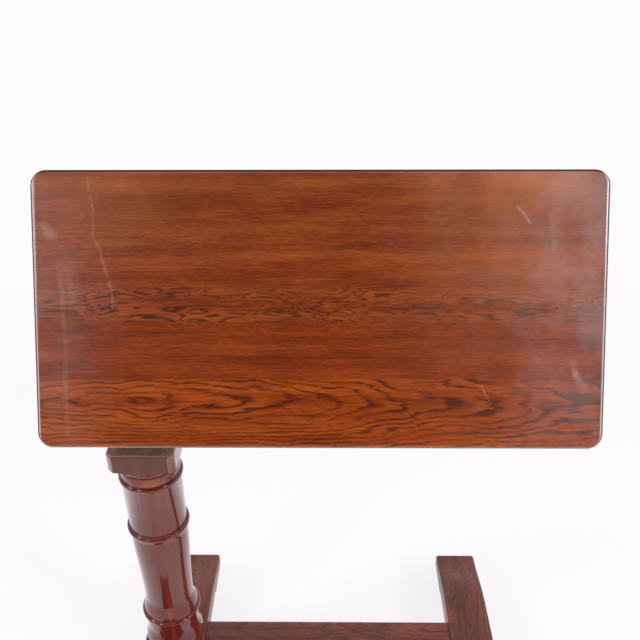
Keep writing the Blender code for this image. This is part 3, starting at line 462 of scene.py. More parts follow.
FILLET_STEP = 0.0014
SHAFT_RADIUS = 0.0483
WAIST_RADIUS = 0.0430
WAIST_RISE = 0.124  # above the column's foot
BASE_BEAD_RISE = 0.084
BELL_RADIUS = 0.0522
BELL_HEIGHT = 0.050
BELL_FOOT = 0.017
BORE_HALF = 0.0223
BORE_CHAMFER = 0.0008
BORE_ROUNDING = 440
BORE_DEPTH = 0.395
COLUMN_TONES = ("#4C1711", "#72261C", "#8C3C29")
BLOCK_DEEP = "#5A1C11"
# painted highlight, partly rubbed stain: the pale of the block's chamfers and upper arris, where they catch the
# light
RUBBED_OAK_AND_HIGHLIGHT = "#AE8274"
REFLECTION_ASIDE = 0.012  # the painted reflection on the neck is strongest this far off its middle
# painted reflection: an orange patch on the front of the neck
NECK_REFLECTION = "#A8501C"
BLOCK_DUST = "#544B44"
DUST_MM = 18
BARE_ROUGHNESS = 0.75

low, high = np.array(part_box("column"))
column_x = (low[0] + high[0]) / 2
block_top = high[2]
block_half = (high[0] - low[0]) / 2
column_length = block_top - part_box("foot_left")[1][2]


def bead(radius, drop, steps=18):
    """Half round standing out from its neighbours' radius, from its upper to its lower edge."""
    turn = np.linspace(np.pi / 2, -np.pi / 2, steps + 1)
    return np.stack([radius + (BEAD_RADIUS - radius) * np.cos(turn), BEAD_HALF * np.sin(turn) - drop], -1)


def groove(radius, drop, steps=12):
    """Scratched round-bottomed groove: a cosine dip in the radius."""
    share = np.linspace(-1, 1, steps + 1)
    dip = GROOVE_DEPTH * (1 + np.cos(np.pi * share)) / 2
    return np.stack([radius - dip, -drop - GROOVE_HALF * share], -1)


def swell(radius_a, drop_a, radius_b, drop_b, steps=24):
    """Soft S between two radii, level with the axis at both ends: half a cosine wave."""
    share = np.linspace(0, 1, steps + 1)
    ease = (1 - np.cos(np.pi * share)) / 2
    return np.stack([radius_a + (radius_b - radius_a) * ease, -drop_a - (drop_b - drop_a) * share], -1)


def block_radius(turn, half, chamfer, power):
    """Distance from the axis to a square with chamfered corners, in each direction: the least of the
    distances to its eight planes, blended by a high power so that corners are a little rounded."""
    planes = np.repeat([half, (2 * half - chamfer) / math.sqrt(2)], 4)
    facing = np.concatenate([np.arange(4), np.arange(4) + 0.5]) * np.pi / 2
    toward = np.maximum(np.cos(turn[:, None] - facing), LEAST_FACING) / planes
    nearest = toward.max(1)
    return ((toward / nearest[:, None]) ** power).sum(1) ** (-1 / power) / nearest


def column_grid():
    """Rings from the foot to the block and down its bore. Below the shoulder each ring is a circle of the
    turned profile; from the shoulder up it is the lesser of the cove and the block, which meet along a
    curve that every ring between follows; the block's upper face runs in to the square bore."""
    corner = np.arctan2(block_half - BLOCK_CHAMFER, block_half)
    spread = np.concatenate([np.linspace(-corner, corner, FACE_STEPS + 1)[:-1],
                             np.linspace(corner, np.pi / 2 - corner, CHAMFER_STEPS + 1)[:-1]])
    turn = np.concatenate([spread + k * np.pi / 2 for k in range(4)] + [spread[:1] + 2 * np.pi])
    lip = LOWER_BEAD_DROP - BEAD_HALF - FILLET_HEIGHT
    waist = column_length - WAIST_RISE
    base_bead = column_length - BASE_BEAD_RISE
    bell = column_length - BELL_HEIGHT
    profile = np.concatenate([
        [[NECK_RADIUS, -SHOULDER_END]],
        groove(NECK_RADIUS, SHOULDER_END + NECK_GROOVE_GAP),
        groove(NECK_RADIUS + NECK_FLARE, UPPER_BEAD_DROP - BEAD_HALF - BEAD_GROOVE_GAP),
        bead(SHAFT_RADIUS + FILLET_STEP / 2, UPPER_BEAD_DROP),
        [[SHAFT_RADIUS, -UPPER_BEAD_DROP - BEAD_HALF - FILLET_HEIGHT / 2], [SHAFT_RADIUS, -lip],
         [SHAFT_RADIUS + FILLET_STEP, -lip]],
        bead(SHAFT_RADIUS + FILLET_STEP, LOWER_BEAD_DROP),
        swell(SHAFT_RADIUS, LOWER_BEAD_DROP + BEAD_HALF + FILLET_HEIGHT, WAIST_RADIUS, waist),
        swell(WAIST_RADIUS, waist, SHAFT_RADIUS, base_bead - BEAD_HALF - FILLET_HEIGHT)[1:],
        bead(SHAFT_RADIUS, base_bead),
        swell(SHAFT_RADIUS - FILLET_STEP, bell, BELL_RADIUS, column_length - BELL_FOOT),
        [[BELL_RADIUS, -column_length], [0.0, -column_length]]])[::-1]
    shaft = np.broadcast_to(profile[:, None, :], (len(profile), len(turn), 2))
    side = block_radius(turn, block_half, BLOCK_CHAMFER, BLOCK_ROUNDING)
    stock = NECK_RADIUS + SHOULDER_REACH
    meet = np.arccos(np.clip((stock - side) / SHOULDER_REACH, 0, 1))
    rise, climb, bevel, inward = (np.linspace(0, 1, steps + 1)[1:, None] for steps in RING_STEPS)
    cove = np.stack([stock - SHOULDER_REACH * np.cos(rise * meet),
                     (SHOULDER_END - BLOCK_CORNER_DROP) * np.sin(rise * meet) - SHOULDER_END], -1)
    face = np.stack([side + 0 * climb, cove[-1, :, 1] * (1 - climb) - BLOCK_ARRIS * climb], -1)
    arris = np.stack([side - BLOCK_ARRIS * (1 - np.cos(bevel * np.pi / 2)),
                      BLOCK_ARRIS * (np.sin(bevel * np.pi / 2) - 1) + 0 * side], -1)
    hole = block_radius(turn, BORE_HALF, BORE_CHAMFER, BORE_ROUNDING)
    mouth = BLOCK_ARRIS / 4
    upper = (side - BLOCK_ARRIS) * (1 - inward) + (hole + mouth) * inward
    upper = np.stack([upper, 0 * upper], -1)
    bore = np.stack([np.stack([hole, hole, 0 * hole]),
                     np.array([[-mouth], [-BORE_DEPTH], [-BORE_DEPTH]]) + 0 * hole], -1)
    rings = np.concatenate([shaft, cove, face, arris, upper, bore])
    spots = np.stack([rings[..., 0] * np.cos(turn), rings[..., 0] * np.sin(turn), rings[..., 1]], -1)
    return spots + (column_x, 0.0, block_top)


def bare_block_top(node, spot):
    """Grey dust and bare wood on the block's upper face, which the polish never covered; stain that lies deep on
    its sides. Its chamfers, where the two distances from the axis add up to the most, and its upper arris are
    paler: stain rubbed thin there and a painted highlight where they catch the light. A painted orange reflection
    lies on the front of the neck. Each step is a place, where it starts and stops, and its values there; heights
    count from the block's top."""
    height, *sides = node("SeparateXYZ", spot).node.outputs
    aside = [node("Math ABSOLUTE", side) for side in sides]
    cross = node("Math ADD", *aside)
    corner = 2 * block_half - BLOCK_CHAMFER
    off_reflection = node("Math ADD", sides[1], REFLECTION_ASIDE)
    off_reflection = node("Math ABSOLUTE", off_reflection)
    patches = node("TexNoise", spot, 1000 / DUST_MM, 4.0)
    step = {name: node("MapRange", *values) for name, values in {
        "deep": (height, -0.0400, -0.0360, 0.0, 0.6),
        "chamfer": (cross, corner - 0.0022, corner - 0.0008, 0.0, 0.55),
        "arris": (height, -0.0026, -0.0014, 0.0, 0.75),
        # the neck's orange patch is a painted reflection, placed off the middle of its front
        "neck": (height, -0.0715, -0.0675),
        "neck head": (height, -0.0530, -0.0560, 0.0, 0.5),
        "neck front": (off_reflection, 0.022, 0.008, 0.15, 1.6),
        "bare": (height, -0.0006, -0.0001),
        "dust": (patches, 0.3, 0.6, 0.45, 0.9)}.items()}
    # chamfers and upper arris paler: stain rubbed thin there, with a painted highlight where they catch the light
    step["thin"] = node("Math MAXIMUM", step["chamfer"], step["arris"])
    for name, factor in (("neck", "neck head"), ("neck", "neck front"), ("dust", "bare")):
        step[name] = node("Math MULTIPLY", step[name], step[factor])
    marks = [(step[name], tone) for name, tone in (
        ("deep", BLOCK_DEEP), ("thin", RUBBED_OAK_AND_HIGHLIGHT), ("neck", NECK_REFLECTION), ("dust", BLOCK_DUST))]
    return marks, step["bare"], BARE_ROUGHNESS, 1.0


column_oak = oak("stained oak, turned and polished", (column_x, 0.0, block_top), UPRIGHT, COLUMN_TONES,
                 pith=(0.075, 0.03), slant=(0.02, 0.03), ring_mm=3.2, flecks=0.4, roughness=0.24,
                 fibre=0.35, coat=1.0, coat_roughness=0.09, specular=0.1, wear=bare_block_top)
make_piece("turned_column", [column_grid()], column_oak, "base", "column_oak", "column")

# Height clamp: a turned brass bush let into the back of the block, and a brass thumb screw through it
# that presses a brass shoe against the post. The shoe stays hidden in its pocket.
FLANGE_EASE = 0.001
BUSH_BORE = 0.0053
HUB_RADIUS = 0.009
HUB_EASE = 0.0015
HUB_LENGTH = 0.012
SEAT_GAP = 0.0003  # from a head or hub to what it bears on
SCREW_RADIUS = 0.005
PADDLE_REACH = 0.027
PADDLE_HALF_WIDTH = 0.0068
PADDLE_ROOT_HALF = 0.0042
PADDLE_HALF_THICK = 0.0020
PADDLE_SWELL = 1.6  # how soon a wing is at its full width
PADDLE_POINTS = 33


def paddle(hand):
    """Wing of a hand screw, across from its axis: ellipses carried outwards from the hub, whose width
    swells from the root and closes round the tip as a quarter circle does."""
    share = np.linspace(0, 1, PADDLE_POINTS)[:, None]
    turn = np.linspace(0, 2 * np.pi, PADDLE_POINTS)
    reach = SCREW_RADIUS + (PADDLE_REACH - SCREW_RADIUS) * np.sin(share * np.pi / 2)
    spread = np.clip(PADDLE_SWELL * share, 0, 1) ** 2
    width = PADDLE_ROOT_HALF + (PADDLE_HALF_WIDTH - PADDLE_ROOT_HALF) * spread
    past = np.clip((reach - PADDLE_REACH + PADDLE_HALF_WIDTH) / PADDLE_HALF_WIDTH, 0, 1)
    tip = np.sqrt(np.clip(1 - past ** 2, 0, 1))
    grid = np.stack([width * tip * np.cos(turn), hand * (reach + 0 * turn),
                     PADDLE_HALF_THICK * np.sqrt(tip) * np.sin(turn)], -1)
    root = np.broadcast_to([0.0, hand * SCREW_RADIUS, 0.0], (1, len(turn), 3))
    return np.concatenate([root, grid])


def hand_screw(profile, place, axis, along):
    """Turned hub with two opposite wings, at a distance along its axis."""
    wings = [(paddle(hand) + (along, 0.0, 0.0))[..., LAY[axis]] + place for hand in (1, -1)]
    return [turned(profile, place, axis)] + wings


low, high = np.array(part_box("clamp_bush"))
clamp_place = (low + high) / 2 * (1, 0, 1)
bush = disc_profile((high[0] - low[0]) / 2, block_half, high[1], FLANGE_EASE, BUSH_BORE)
make_piece("clamp_collar", [turned(bush, clamp_place, "Y", turns=64)],
           aged_brass, "base", "brass", "clamp_bush")
hub_start = high[1] + SEAT_GAP
hub_end = hub_start + HUB_LENGTH
screw_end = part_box("clamp_screw")[0][1]
profile = np.concatenate([[[0.0, screw_end], [SCREW_RADIUS, screw_end], [SCREW_RADIUS, hub_start]],
                          disc_profile(HUB_RADIUS, hub_start, hub_end, HUB_EASE)[1:]])
make_piece("thumb_screw", hand_screw(profile, clamp_place, "Y", hub_end - PADDLE_ROOT_HALF), aged_brass,
           "height_clamp", "brass", "clamp_screw")
dress_node("clamp_shoe", aged_brass)

# Post and head: a square oak post, its arrises rounded, that slides in the column, and the rounded
# knuckle pegged on its top. Plain dark oak, waxed more than polished.
POST_ROUND = 0.003
POST_END_EASE = 0.001
HEAD_EASE = 0.0015
HEAD_SQUARE = 0.0025  # rounding of the head's square corners
HEAD_MIDDLE_DROP = 0.01  # from the pivot to the middle of the head's sides
POST_TONES = ("#471B11", "#6D2D1D", "#884329")

head_low, head_high = np.array(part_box("post_head"))
low, high = np.array(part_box("post"))
high[2] = head_low[2]
post_oak = functools.partial(oak, turn=UPRIGHT, tones=POST_TONES, ring_mm=3.0, flecks=0.6, roughness=0.42,
                             coat=0.15)
finish = post_oak("stained oak, post", (column_x, 0.0, 0.0), pith=(0.06, 0.02), slant=(0.02, 0.0))
make_piece("sliding_post", [bar("Z", low, high, POST_ROUND, POST_END_EASE)], finish, "post", "frame_oak",
           "post")
pivot = np.array(next(joint["pos_m"] for joint in frame["joints"] if joint["name"] == "tilt"))
crown_radius = head_high[2] - pivot[2]


def head_edge(inset):
    """Side view of the head in Y and Z: square at its foot and back, rounded about the pivot in front."""
    back, foot, top = head_high[1] - inset, head_low[2] + inset, head_high[2] - inset
    front = crown_radius - inset
    edge = HEAD_SQUARE
    rounded = arc(0.0, pivot[2], front, 90, 180, steps=24)
    corners = [arc(y, z, edge, start, start + 90) for y, z, start in (
        (edge - front, foot + edge, 180), (back - edge, foot + edge, 270), (back - edge, top - edge, 0))]
    return np.concatenate([rounded, *corners, rounded[:1]])


grid = plate(head_edge, head_low[0], head_high[0], HEAD_EASE, (0.0, pivot[2] - HEAD_MIDDLE_DROP))
finish = post_oak("stained oak, post head", (column_x, 0.0, pivot[2]), pith=(0.05, -0.04), slant=(0.1, 0.0))
make_piece("pivot_head", [grid], finish, "post", "frame_oak", "post_head")

# Top: four oak boards glued edge to edge, rounded over all round and at the corners. Stained red brown and
# polished; two boards are nearly plain, the third has a flecked band and the front one a bold flame.
# Pale scratches from years of use lie across it, thickest near the two ends, where glare of the lamps is also
# painted into the colour as an orange sheen and a lilac reflection.
CORNER_RADIUS = 0.021
EDGE_ROUND = 0.0059
EDGE_LINES = 10  # over the round, and as many on to where a corner starts
FLAT_LINES = (8, 30)  # over the rest of a board's depth and length
BACK_TONES = ("#66260E", "#7F3512", "#954919")
THIRD_TONES = ("#6A2A10", "#893913", "#9F4D19")
SECOND_TONES = ("#65240A", "#84330A", "#99420F")
FRONT_TONES = ("#762D08", "#993F0A", "#B3520F")
PLAIN_PORE = "#3C1A10"
THIRD_PORE = "#3A180E"
FRONT_PORE = "#4A1B0A"
# painted shade: the boards' sides below the round-over, darkened in a dark brown
EDGE_SHADE = "#2E1610"
EDGE_ROUGHNESS = 0.95
UNDER_STAIN = "#51291A"
UNDER_SHARE = 0.75  # how much of that stain shows on the lower half
BLEND = 0.001  # half the height over which the lower half takes over
ARRIS_TAN = "#B98A63"
# painted highlight along the round of each end arris
ARRIS_HIGHLIGHT = "#E2D0CE"
# painted glare: an orange sheen of the lamps' reflection towards both ends and the back
END_GLARE = "#C57645"
# painted reflection: a lilac veil over the last few centimetres of each end
LILAC_REFLECTION = "#B9ABAE"
SCRATCH = "#C3A39B"
STRAY_MM = 7  # how far a scratch strays, from side to side
TOP_PATTERNS_MM = {  # size, detail and roughness of each pattern in the marks
    "cloud": (70, 4.0, 0.55), "haze": (45, 4.0, 0.6), "stray": (30, 3.0, 0.5), "breaks": (14, 4.0, 0.65)}
FRONT_DIP_MM = (  # depth of the front board's pith below its face, along the board
    (-381, 27), (-312, 23), (-266, 19.6), (-243, 15.9), (-227, 15.5), (-211, 15.9), (-188, 19.6), (-142, 24),
    (-55, 28), (23, 40), (157, 52), (320, 64), (381, 69))
STROKES_MM = (  # points of each scratch or smear on the top, its width, how strongly it shows
    (((-304, 176), (-299, 139), (-297, 99), (-286, 67), (-277, 41), (-274, 4)), 5.2, 0.18),
    (((-291, 92), (-284, 52), (-270, 8)), 5.0, 0.11),
    (((-345, 62), (-338, -39), (-341, -99), (-338, -166)), 11.0, 0.11),
    (((258, 137), (266, 129), (275, 118)), 5.0, 0.48), (((304, 128), (309, 92), (311, 58)), 12.0, 0.11),
    (((213, -92), (221, -106), (229, -124)), 3.0, 0.30), (((337, -68), (342, -84), (352, -102)), 17.0, 0.34),
    (((-364, 112), (-352, 100)), 24.0, 0.26), (((-335, 60), (-330, 20)), 40.0, 0.13),
    (((352, 120), (362, 40)), 34.0, 0.13))

mount = next(mount for mount in frame["record"]["mounts"] if mount["name"] == "reading_surface")
tilt = math.atan2(-mount["axis"][1], mount["axis"][2])
top_turn = np.array(Matrix.Rotation(tilt, 3, "X"))
top_origin = pivot * (0, 0, 1)


def box_in_top(node):
    """Lowest and highest corners of a node in the frame of the tilted top."""
    mesh = frame["nodes"][node].data
    flat = np.empty(3 * len(mesh.vertices), np.float32)
    mesh.vertices.foreach_get("co", flat)
    spots = (flat.reshape(-1, 3) - top_origin) @ top_turn
    return spots.min(0), spots.max(0)


def in_world(patches):
    """Grids in the frame of the tilted top, turned into the table's frame."""
    return [patch @ top_turn.T + top_origin for patch in patches]


def slab(upper, lower):
    """Two grids, one over the other, and the four strips that join their borders."""
    ends = [np.stack([upper[k], lower[k]]) for k in (0, -1)]
    return [upper, lower] + ends + [np.stack([upper[:, k], lower[:, k]]) for k in (0, -1)]


board_names = ("front", "second", "third", "back")
board_boxes = [box_in_top(f"{name}_board") for name in board_names]
half_length = board_boxes[0][1][0]
half_depth = board_boxes[3][1][1]
underside, face_height = board_boxes[0][0][2], board_boxes[0][1][2]
joints = [(before[1][1] + after[0][1]) / 2 for before, after in zip(board_boxes, board_boxes[1:])]
cuts = [-half_depth] + joints + [half_depth]


def board_sheets(front, back):
    """Upper and lower sheets of one board. Lines across run from end to end of the rounded oblong at
    their own depth; a point's height falls off as a quarter circle with its distance from the outline."""
    edge = np.concatenate([EDGE_ROUND * (1 - np.cos(np.linspace(0, np.pi / 2, EDGE_LINES))),
                           np.linspace(EDGE_ROUND, CORNER_RADIUS, EDGE_LINES)[1:]])
    near = edge if front == -half_depth else edge[:1]
    far = edge if back == half_depth else edge[:1]
    flat = np.linspace(front + near[-1], back - far[-1], FLAT_LINES[0])[1:-1]
    depth = np.concatenate([front + near, flat, (back - far)[::-1]])[:, None]
    past_y = np.abs(depth) - half_depth + CORNER_RADIUS
    overrun = np.clip(past_y, 0, CORNER_RADIUS)
    end = half_length - CORNER_RADIUS + np.sqrt(CORNER_RADIUS ** 2 - overrun ** 2)
    flat = np.linspace(-1, 1, FLAT_LINES[1])[1:-1] * (end - CORNER_RADIUS)
    length = np.concatenate([edge - end, flat, (end - edge)[:, ::-1]], 1)
    past_x = np.abs(length) - half_length + CORNER_RADIUS
    outside = np.hypot(np.maximum(past_x, 0), np.maximum(past_y, 0))
    outside += np.minimum(np.maximum(past_x, past_y), 0)
    inside = np.clip(CORNER_RADIUS - outside, 0, EDGE_ROUND)
    fall = EDGE_ROUND - np.sqrt(EDGE_ROUND ** 2 - (EDGE_ROUND - inside) ** 2)
    return [np.stack([length, depth + 0 * length, height], -1)
            for height in (face_height - fall, underside + fall)]


def used_top(node, spot):
    """Painted glare towards both ends and most at the back, an orange sheen in soft patches, and a painted lilac
    reflection on the last few centimetres; scratches and smears, each the distance to a stroke that strays a
    little, faded over its width and broken up; the sides below the round darkened as painted shade and dull with
    handling, the end arrises painted pale above them as a highlight, and the front one rubbed tan. The lower half
    has stain but neither polish nor marks.
    Each step is a place, where it starts and stops, and its values there."""
    x, y, z = node("SeparateXYZ", spot).node.outputs
    off_x, off_y = (node("Math ABSOLUTE", value) for value in (x, y))
    noise = {pattern: node("TexNoise", spot, 1000 / size_mm, detail, roughness)
             for pattern, (size_mm, detail, roughness) in TOP_PATTERNS_MM.items()}
    front_edge = node("MapRange", y, 0.0060 - half_depth, 0.0040 - half_depth, 0.0, 0.0050)
    raised = node("Math ADD", z, front_edge)
    middle = (underside + face_height) / 2
    steps = {
        "SMOOTHSTEP": {
            "left end": (x, -0.13, -0.30), "left back": (y, 0.05, half_depth, 0.0, 0.24),
            "right end": (x, 0.04, 0.30), "right back": (y, -0.10, half_depth, 0.04, 0.35),
            "bloom": (y, half_depth - 0.05, half_depth - 0.01, 0.0, 0.11),
            "cloud": (noise["cloud"], 0.34, 0.66, 0.6, 1.4),
            "end fade": (off_x, half_length - 0.06, half_length, 1.0, 0.35),
            "left veil": (x, -0.24, -half_length, 0.0, 0.10), "left front": (y, 0.0, 0.12, 1.0, 0.1),
            "veil": (x, 0.02, 0.25, 0.0, 0.04), "right veil": (x, 0.20, half_length, 0.0, 0.17),
            "haze": (noise["haze"], 0.36, 0.64, 0.6, 1.4), "front fade": (y, -half_depth, 0.0, 0.6, 1.0),
            "arris": (z, face_height - 0.0075, face_height - 0.0045)},
        "LINEAR": {
            "upper": (z, middle - BLEND, middle + BLEND),
            "lower": (z, middle + BLEND, middle - BLEND, 0.0, UNDER_SHARE),
            "breaks": (noise["breaks"], 0.36, 0.60, 0.25, 1.0),
            "end edge": (off_x, half_length - 0.0055, half_length - 0.0040),
            "long edge": (off_y, half_depth - 0.0055, half_depth - 0.0040),
            # painted shade: the sides below the round darkened
            "below": (raised, face_height - 0.0005, face_height - 0.0008, 0.0, 0.9),
            # painted highlight: a pale line on the round of each end arris
            "rubbed": (off_x, half_length - 0.0058, half_length - 0.0046, 0.0, 0.7),
            "worn": (y, 0.0040 - half_depth, 0.0010 - half_depth, 0.0, 0.9)}}
    step = {name: node("MapRange", *values, interpolation_type=kind)
            for kind, table in steps.items() for name, values in table.items()}

    # painted glare, strongest towards both ends and the back
    for end in ("left", "right"):
        step["bloom"] = node("Math MULTIPLY_ADD", step[f"{end} end"], step[f"{end} back"], step["bloom"])
    # painted reflection: the lilac veil, towards the right and on the last few centimetres of both ends
    step["veil"] = node("Math MULTIPLY_ADD", step["left veil"], step["left front"], step["veil"])
    step["veil"] = node("Math ADD", step["veil"], step["right veil"])
    step["edge"] = node("Math MAXIMUM", step["end edge"], step["long edge"])
    for name, factors in {"bloom": ("cloud", "upper", "end fade"), "veil": ("upper", "haze", "front fade"),
                          "breaks": ("upper",), "below": ("edge",), "worn": ("breaks", "arris")}.items():
        for factor in factors:
            step[name] = node("Math MULTIPLY", step[name], step[factor])

    marks = [(step["bloom"], END_GLARE), (step["veil"], LILAC_REFLECTION)]
    stray = STRAY_MM / 1000
    strayed = node("VectorMath MULTIPLY_ADD", noise["stray"].node.outputs["Color"], (stray, stray, 0.0),
                   (-stray / 2, -stray / 2, 0.0))
    strayed = node("VectorMath ADD", spot, strayed)
    flat = node("VectorMath MULTIPLY", strayed, (1000.0, 1000.0, 0.0))
    for points, width, strength in STROKES_MM:
        for start, end in zip(points, points[1:]):
            stroke = np.array([*np.subtract(end, start), 0.0])
            offset = node("VectorMath SUBTRACT", flat, (*start, 0.0))
            along = node("VectorMath DOT_PRODUCT", offset, stroke / (stroke @ stroke))
            foot = node("VectorMath SCALE", stroke, node("Clamp", along))
            gap = node("VectorMath DISTANCE", offset, foot)
            mark = node("MapRange", gap, width / 2, 0.0, 0.0, strength, interpolation_type="SMOOTHSTEP")
            marks.append((node("Math MULTIPLY", mark, step["breaks"]), SCRATCH))
    marks += [(step[name], tone) for name, tone in (
        ("lower", UNDER_STAIN), ("rubbed", ARRIS_HIGHLIGHT), ("below", EDGE_SHADE), ("worn", ARRIS_TAN))]
    bare = node("Math MAXIMUM", step["below"], step["lower"])
    return marks, bare, EDGE_ROUGHNESS, UNDER_SHARE


plain_oak = dict(slant=(0.0, 0.02), ring_mm=3.0, flecks=0.3, wander_mm=(10, 260, 120), pore=PLAIN_PORE)
board_oak = {
    "front": dict(tones=FRONT_TONES, pith=(-0.119, face_height), slant=(0.0, 0.0), dip_mm=FRONT_DIP_MM,
                  steep=0.9, ring_mm=5.2, flecks=1.0, wander_mm=(12, 100, 36), pore=FRONT_PORE),
    "second": dict(plain_oak, tones=SECOND_TONES, pith=(0.22, -0.06)),
    "third": dict(tones=THIRD_TONES, pith=(0.003, 0.048), slant=(0.004, 0.02), ring_mm=2.8, flecks=0.95,
                  wander_mm=(16, 100, 30), pore=THIRD_PORE),
    "back": dict(plain_oak, tones=BACK_TONES, pith=(0.34, -0.10))}
for name, front, back in zip(board_names, cuts, cuts[1:]):
    finish = oak(f"stained oak, {name} board", tuple(top_origin), (tilt, 0.0, 0.0), roughness=0.34, coat=0.6,
                 wear=used_top, **board_oak[name])
    patches = in_world(slab(*board_sheets(front, back)))
    make_piece(f"{name}_top_board", patches, finish, "top", "top_oak", f"{name}_board")

# Rails: a long oak bearer under the middle of the boards and a cleat across them at each end, planed,
# rounded on their arrises and screwed up into the boards. Stained like the frame, never polished.
RAIL_ROUND = 0.003
RAIL_PITH = (0.03, -0.03)  # beside and below the middle of a rail
UNDER_TONES = ("#40231A", "#5F3421", "#7A492E")

under_oak = functools.partial(oak, place=tuple(top_origin), tones=UNDER_TONES, flecks=0.6, roughness=0.5,
                              coat=0.0)
for node_name, piece_name, axis, turn, ease in (
        ("bearer", "long_bearer", "X", 0.0, SHOULDER_EASE),
        ("cleat_left", "left_cleat", "Y", math.pi / 2, RAIL_ROUND),
        ("cleat_right", "right_cleat", "Y", math.pi / 2, RAIL_ROUND)):
    low, high = box_in_top(node_name)
    lift = (0.0, 0.0, (underside - high[2]) / 2)  # halves the gap that the solids leave under the boards
    beside = RAIL_PITH[0] - (low[0] + high[0]) / 2
    finish = under_oak(f"stained oak, {piece_name}", turn=(tilt, 0.0, turn), pith=(beside, RAIL_PITH[1]),
                       slant=(0.02, 0.05), ring_mm=3.4)
    patches = in_world([bar(axis, low + lift, high + lift, RAIL_ROUND, ease)])
    make_piece(piece_name, patches, finish, "top", "frame_oak", node_name)

# Cheeks: two oak lugs under the bearer with round ends about the pivot, screwed down through it, that
# clasp the post's head between them.
CHEEK_EASE = 0.0015

rail_face = box_in_top("bearer")[0][2]


def cheek_edge(radius):
    """End view of a cheek in Y and Z: a half round below the pivot, straight sides up to the bearer."""
    def outline(inset):
        reach = radius - inset
        lower = arc(0.0, 0.0, reach, 180, 360, steps=40)
        return np.concatenate([lower, [[reach, rail_face]], [[-reach, rail_face]], lower[:1]])
    return outline


for side in ("left", "right"):
    low, high = box_in_top(f"cheek_{side}")
    grid = plate(cheek_edge(high[1]), low[0], high[0], CHEEK_EASE, (0.0, 0.0))
    finish = under_oak(f"stained oak, {side} cheek", turn=(tilt, 0.0, 0.0), pith=(0.04, -0.05),
                       slant=(0.05, 0.1), ring_mm=3.2)
    make_piece(f"{side}_cheek", in_world([grid]), finish, "top", "frame_oak", f"cheek_{side}")

# Wood screws: countersunk steel screws with a sawn slot, up through the bearer and cleats into the boards.
# Four more go down through the bearer into the cheeks, where the boards hide them.
SLOT_HALF = 0.0005
SLOT_DEPTH = 0.0009
SLOT_TURN = 0.7  # radians from one screw's slot to the next one's
HEAD_PROUD = 0.0002
HEAD_DOME = 0.0003
HEAD_DEPTH = 0.0016
HEAD_LINES = 12  # lines across the head on each side of the slot
HEAD_POINTS = 25  # points on a line


def slotted_head(radius, place, slot_turn):
    """Round head seen from below: lines across the disc at fixed places, so that two of them are the edges
    of the slot, over a slight dome, with the slot's floor a step deeper."""
    side = np.linspace(SLOT_HALF, radius, HEAD_LINES)
    lines = np.concatenate([-side[::-1], [-SLOT_HALF, SLOT_HALF], side])[:, None]
    cross = np.linspace(-1, 1, HEAD_POINTS) * np.sqrt(np.clip(radius ** 2 - lines ** 2, 0, None))
    height = HEAD_DOME * (lines ** 2 + cross ** 2) / radius ** 2
    height[HEAD_LINES:HEAD_LINES + 2] += SLOT_DEPTH
    spun = [lines * math.cos(slot_turn) - cross * math.sin(slot_turn),
            lines * math.sin(slot_turn) + cross * math.cos(slot_turn)]
    return slab(*(np.stack(spun + [level], -1) + place for level in (height, 0 * height + HEAD_DEPTH)))


screw_names = [f"bearer_screw_{k}" for k in range(1, 5)] + [f"cleat_screw_{k}" for k in range(1, 9)]
for number, screw in enumerate(screw_names):
    low, high = box_in_top(screw)
    place = np.array([(low[0] + high[0]) / 2, (low[1] + high[1]) / 2, rail_face - HEAD_PROUD])
    patches = in_world(slotted_head((high[0] - low[0]) / 2, place, SLOT_TURN * number))
    make_piece(f"slotted_{screw}", patches, dull_steel, "top", "steel", screw)
for number in range(1, 5):
    dress_node(f"cheek_screw_{number}", dull_steel)

# Pivot: a steel bolt through both cheeks and the head, with a domed head, steel washers, leather friction
# discs either side of the post's head, and a brass wing nut that clamps the tilt.
WASHER_EASE = 0.0004
DISC_EASE = 0.0003
BOLT_CHAMFER = 0.0008
THREAD_PITCH = 0.0015
THREAD_DEPTH = 0.0004
NUT_BORE = 0.0052
NUT_LENGTH = 0.013
LEATHER_BROWN = ("#2E1B12", "#4A2D1C", "#5E3C26")
LEATHER_STOPS = (0.35, 0.5, 0.65)
LEATHER_WEAR_MM = 8
LEATHER_PEBBLE_MM = 0.8
LEATHER_PEBBLE_DEPTH = 0.0002
LEATHER_BUMP = 0.4
LEATHER_ROUGHNESS = 0.72


def leather(name, tones):
    """Sole leather, cut and worn: pebbled grain and slow darkening from handling, dull all over."""
    made, shader, node = new_material(name)
    spot = node("TexCoord", out="Object")
    worn = node("TexNoise", spot, 1000 / LEATHER_WEAR_MM, 4.0)
    pebble = node("TexVoronoi", spot, 1000 / LEATHER_PEBBLE_MM)
    feed(shader, {"Base Color": node("ValToRGB", worn, stops=zip(LEATHER_STOPS, tones)),
                  "Normal": node("Bump", LEATHER_BUMP, LEATHER_PEBBLE_DEPTH, None, pebble),
                  "Roughness": LEATHER_ROUGHNESS})
    return made


def span_and_radius(node):
    """Ends of a node along X and its radius about the pivot axis."""
    low, high = box_in_top(node)
    return low[0], high[0], (high[1] - low[1]) / 2


pivot_axis = pivot * (0, 1, 1)
friction_leather = leather("sole leather, worn", LEATHER_BROWN)
for side in ("left", "right"):
    for node_name, piece_name, ease, finish, slot in (
            (f"friction_disc_{side}", f"{side}_friction_leather", DISC_EASE, friction_leather, "leather"),
            (f"bolt_washer_{side}", f"{side}_washer", WASHER_EASE, dull_steel, "steel")):
        start, end, radius = span_and_radius(node_name)
        grid = turned(disc_profile(radius, start, end, ease, SCREW_RADIUS), pivot_axis, "X", turns=64)
        make_piece(piece_name, [grid], finish, "top", slot, node_name)

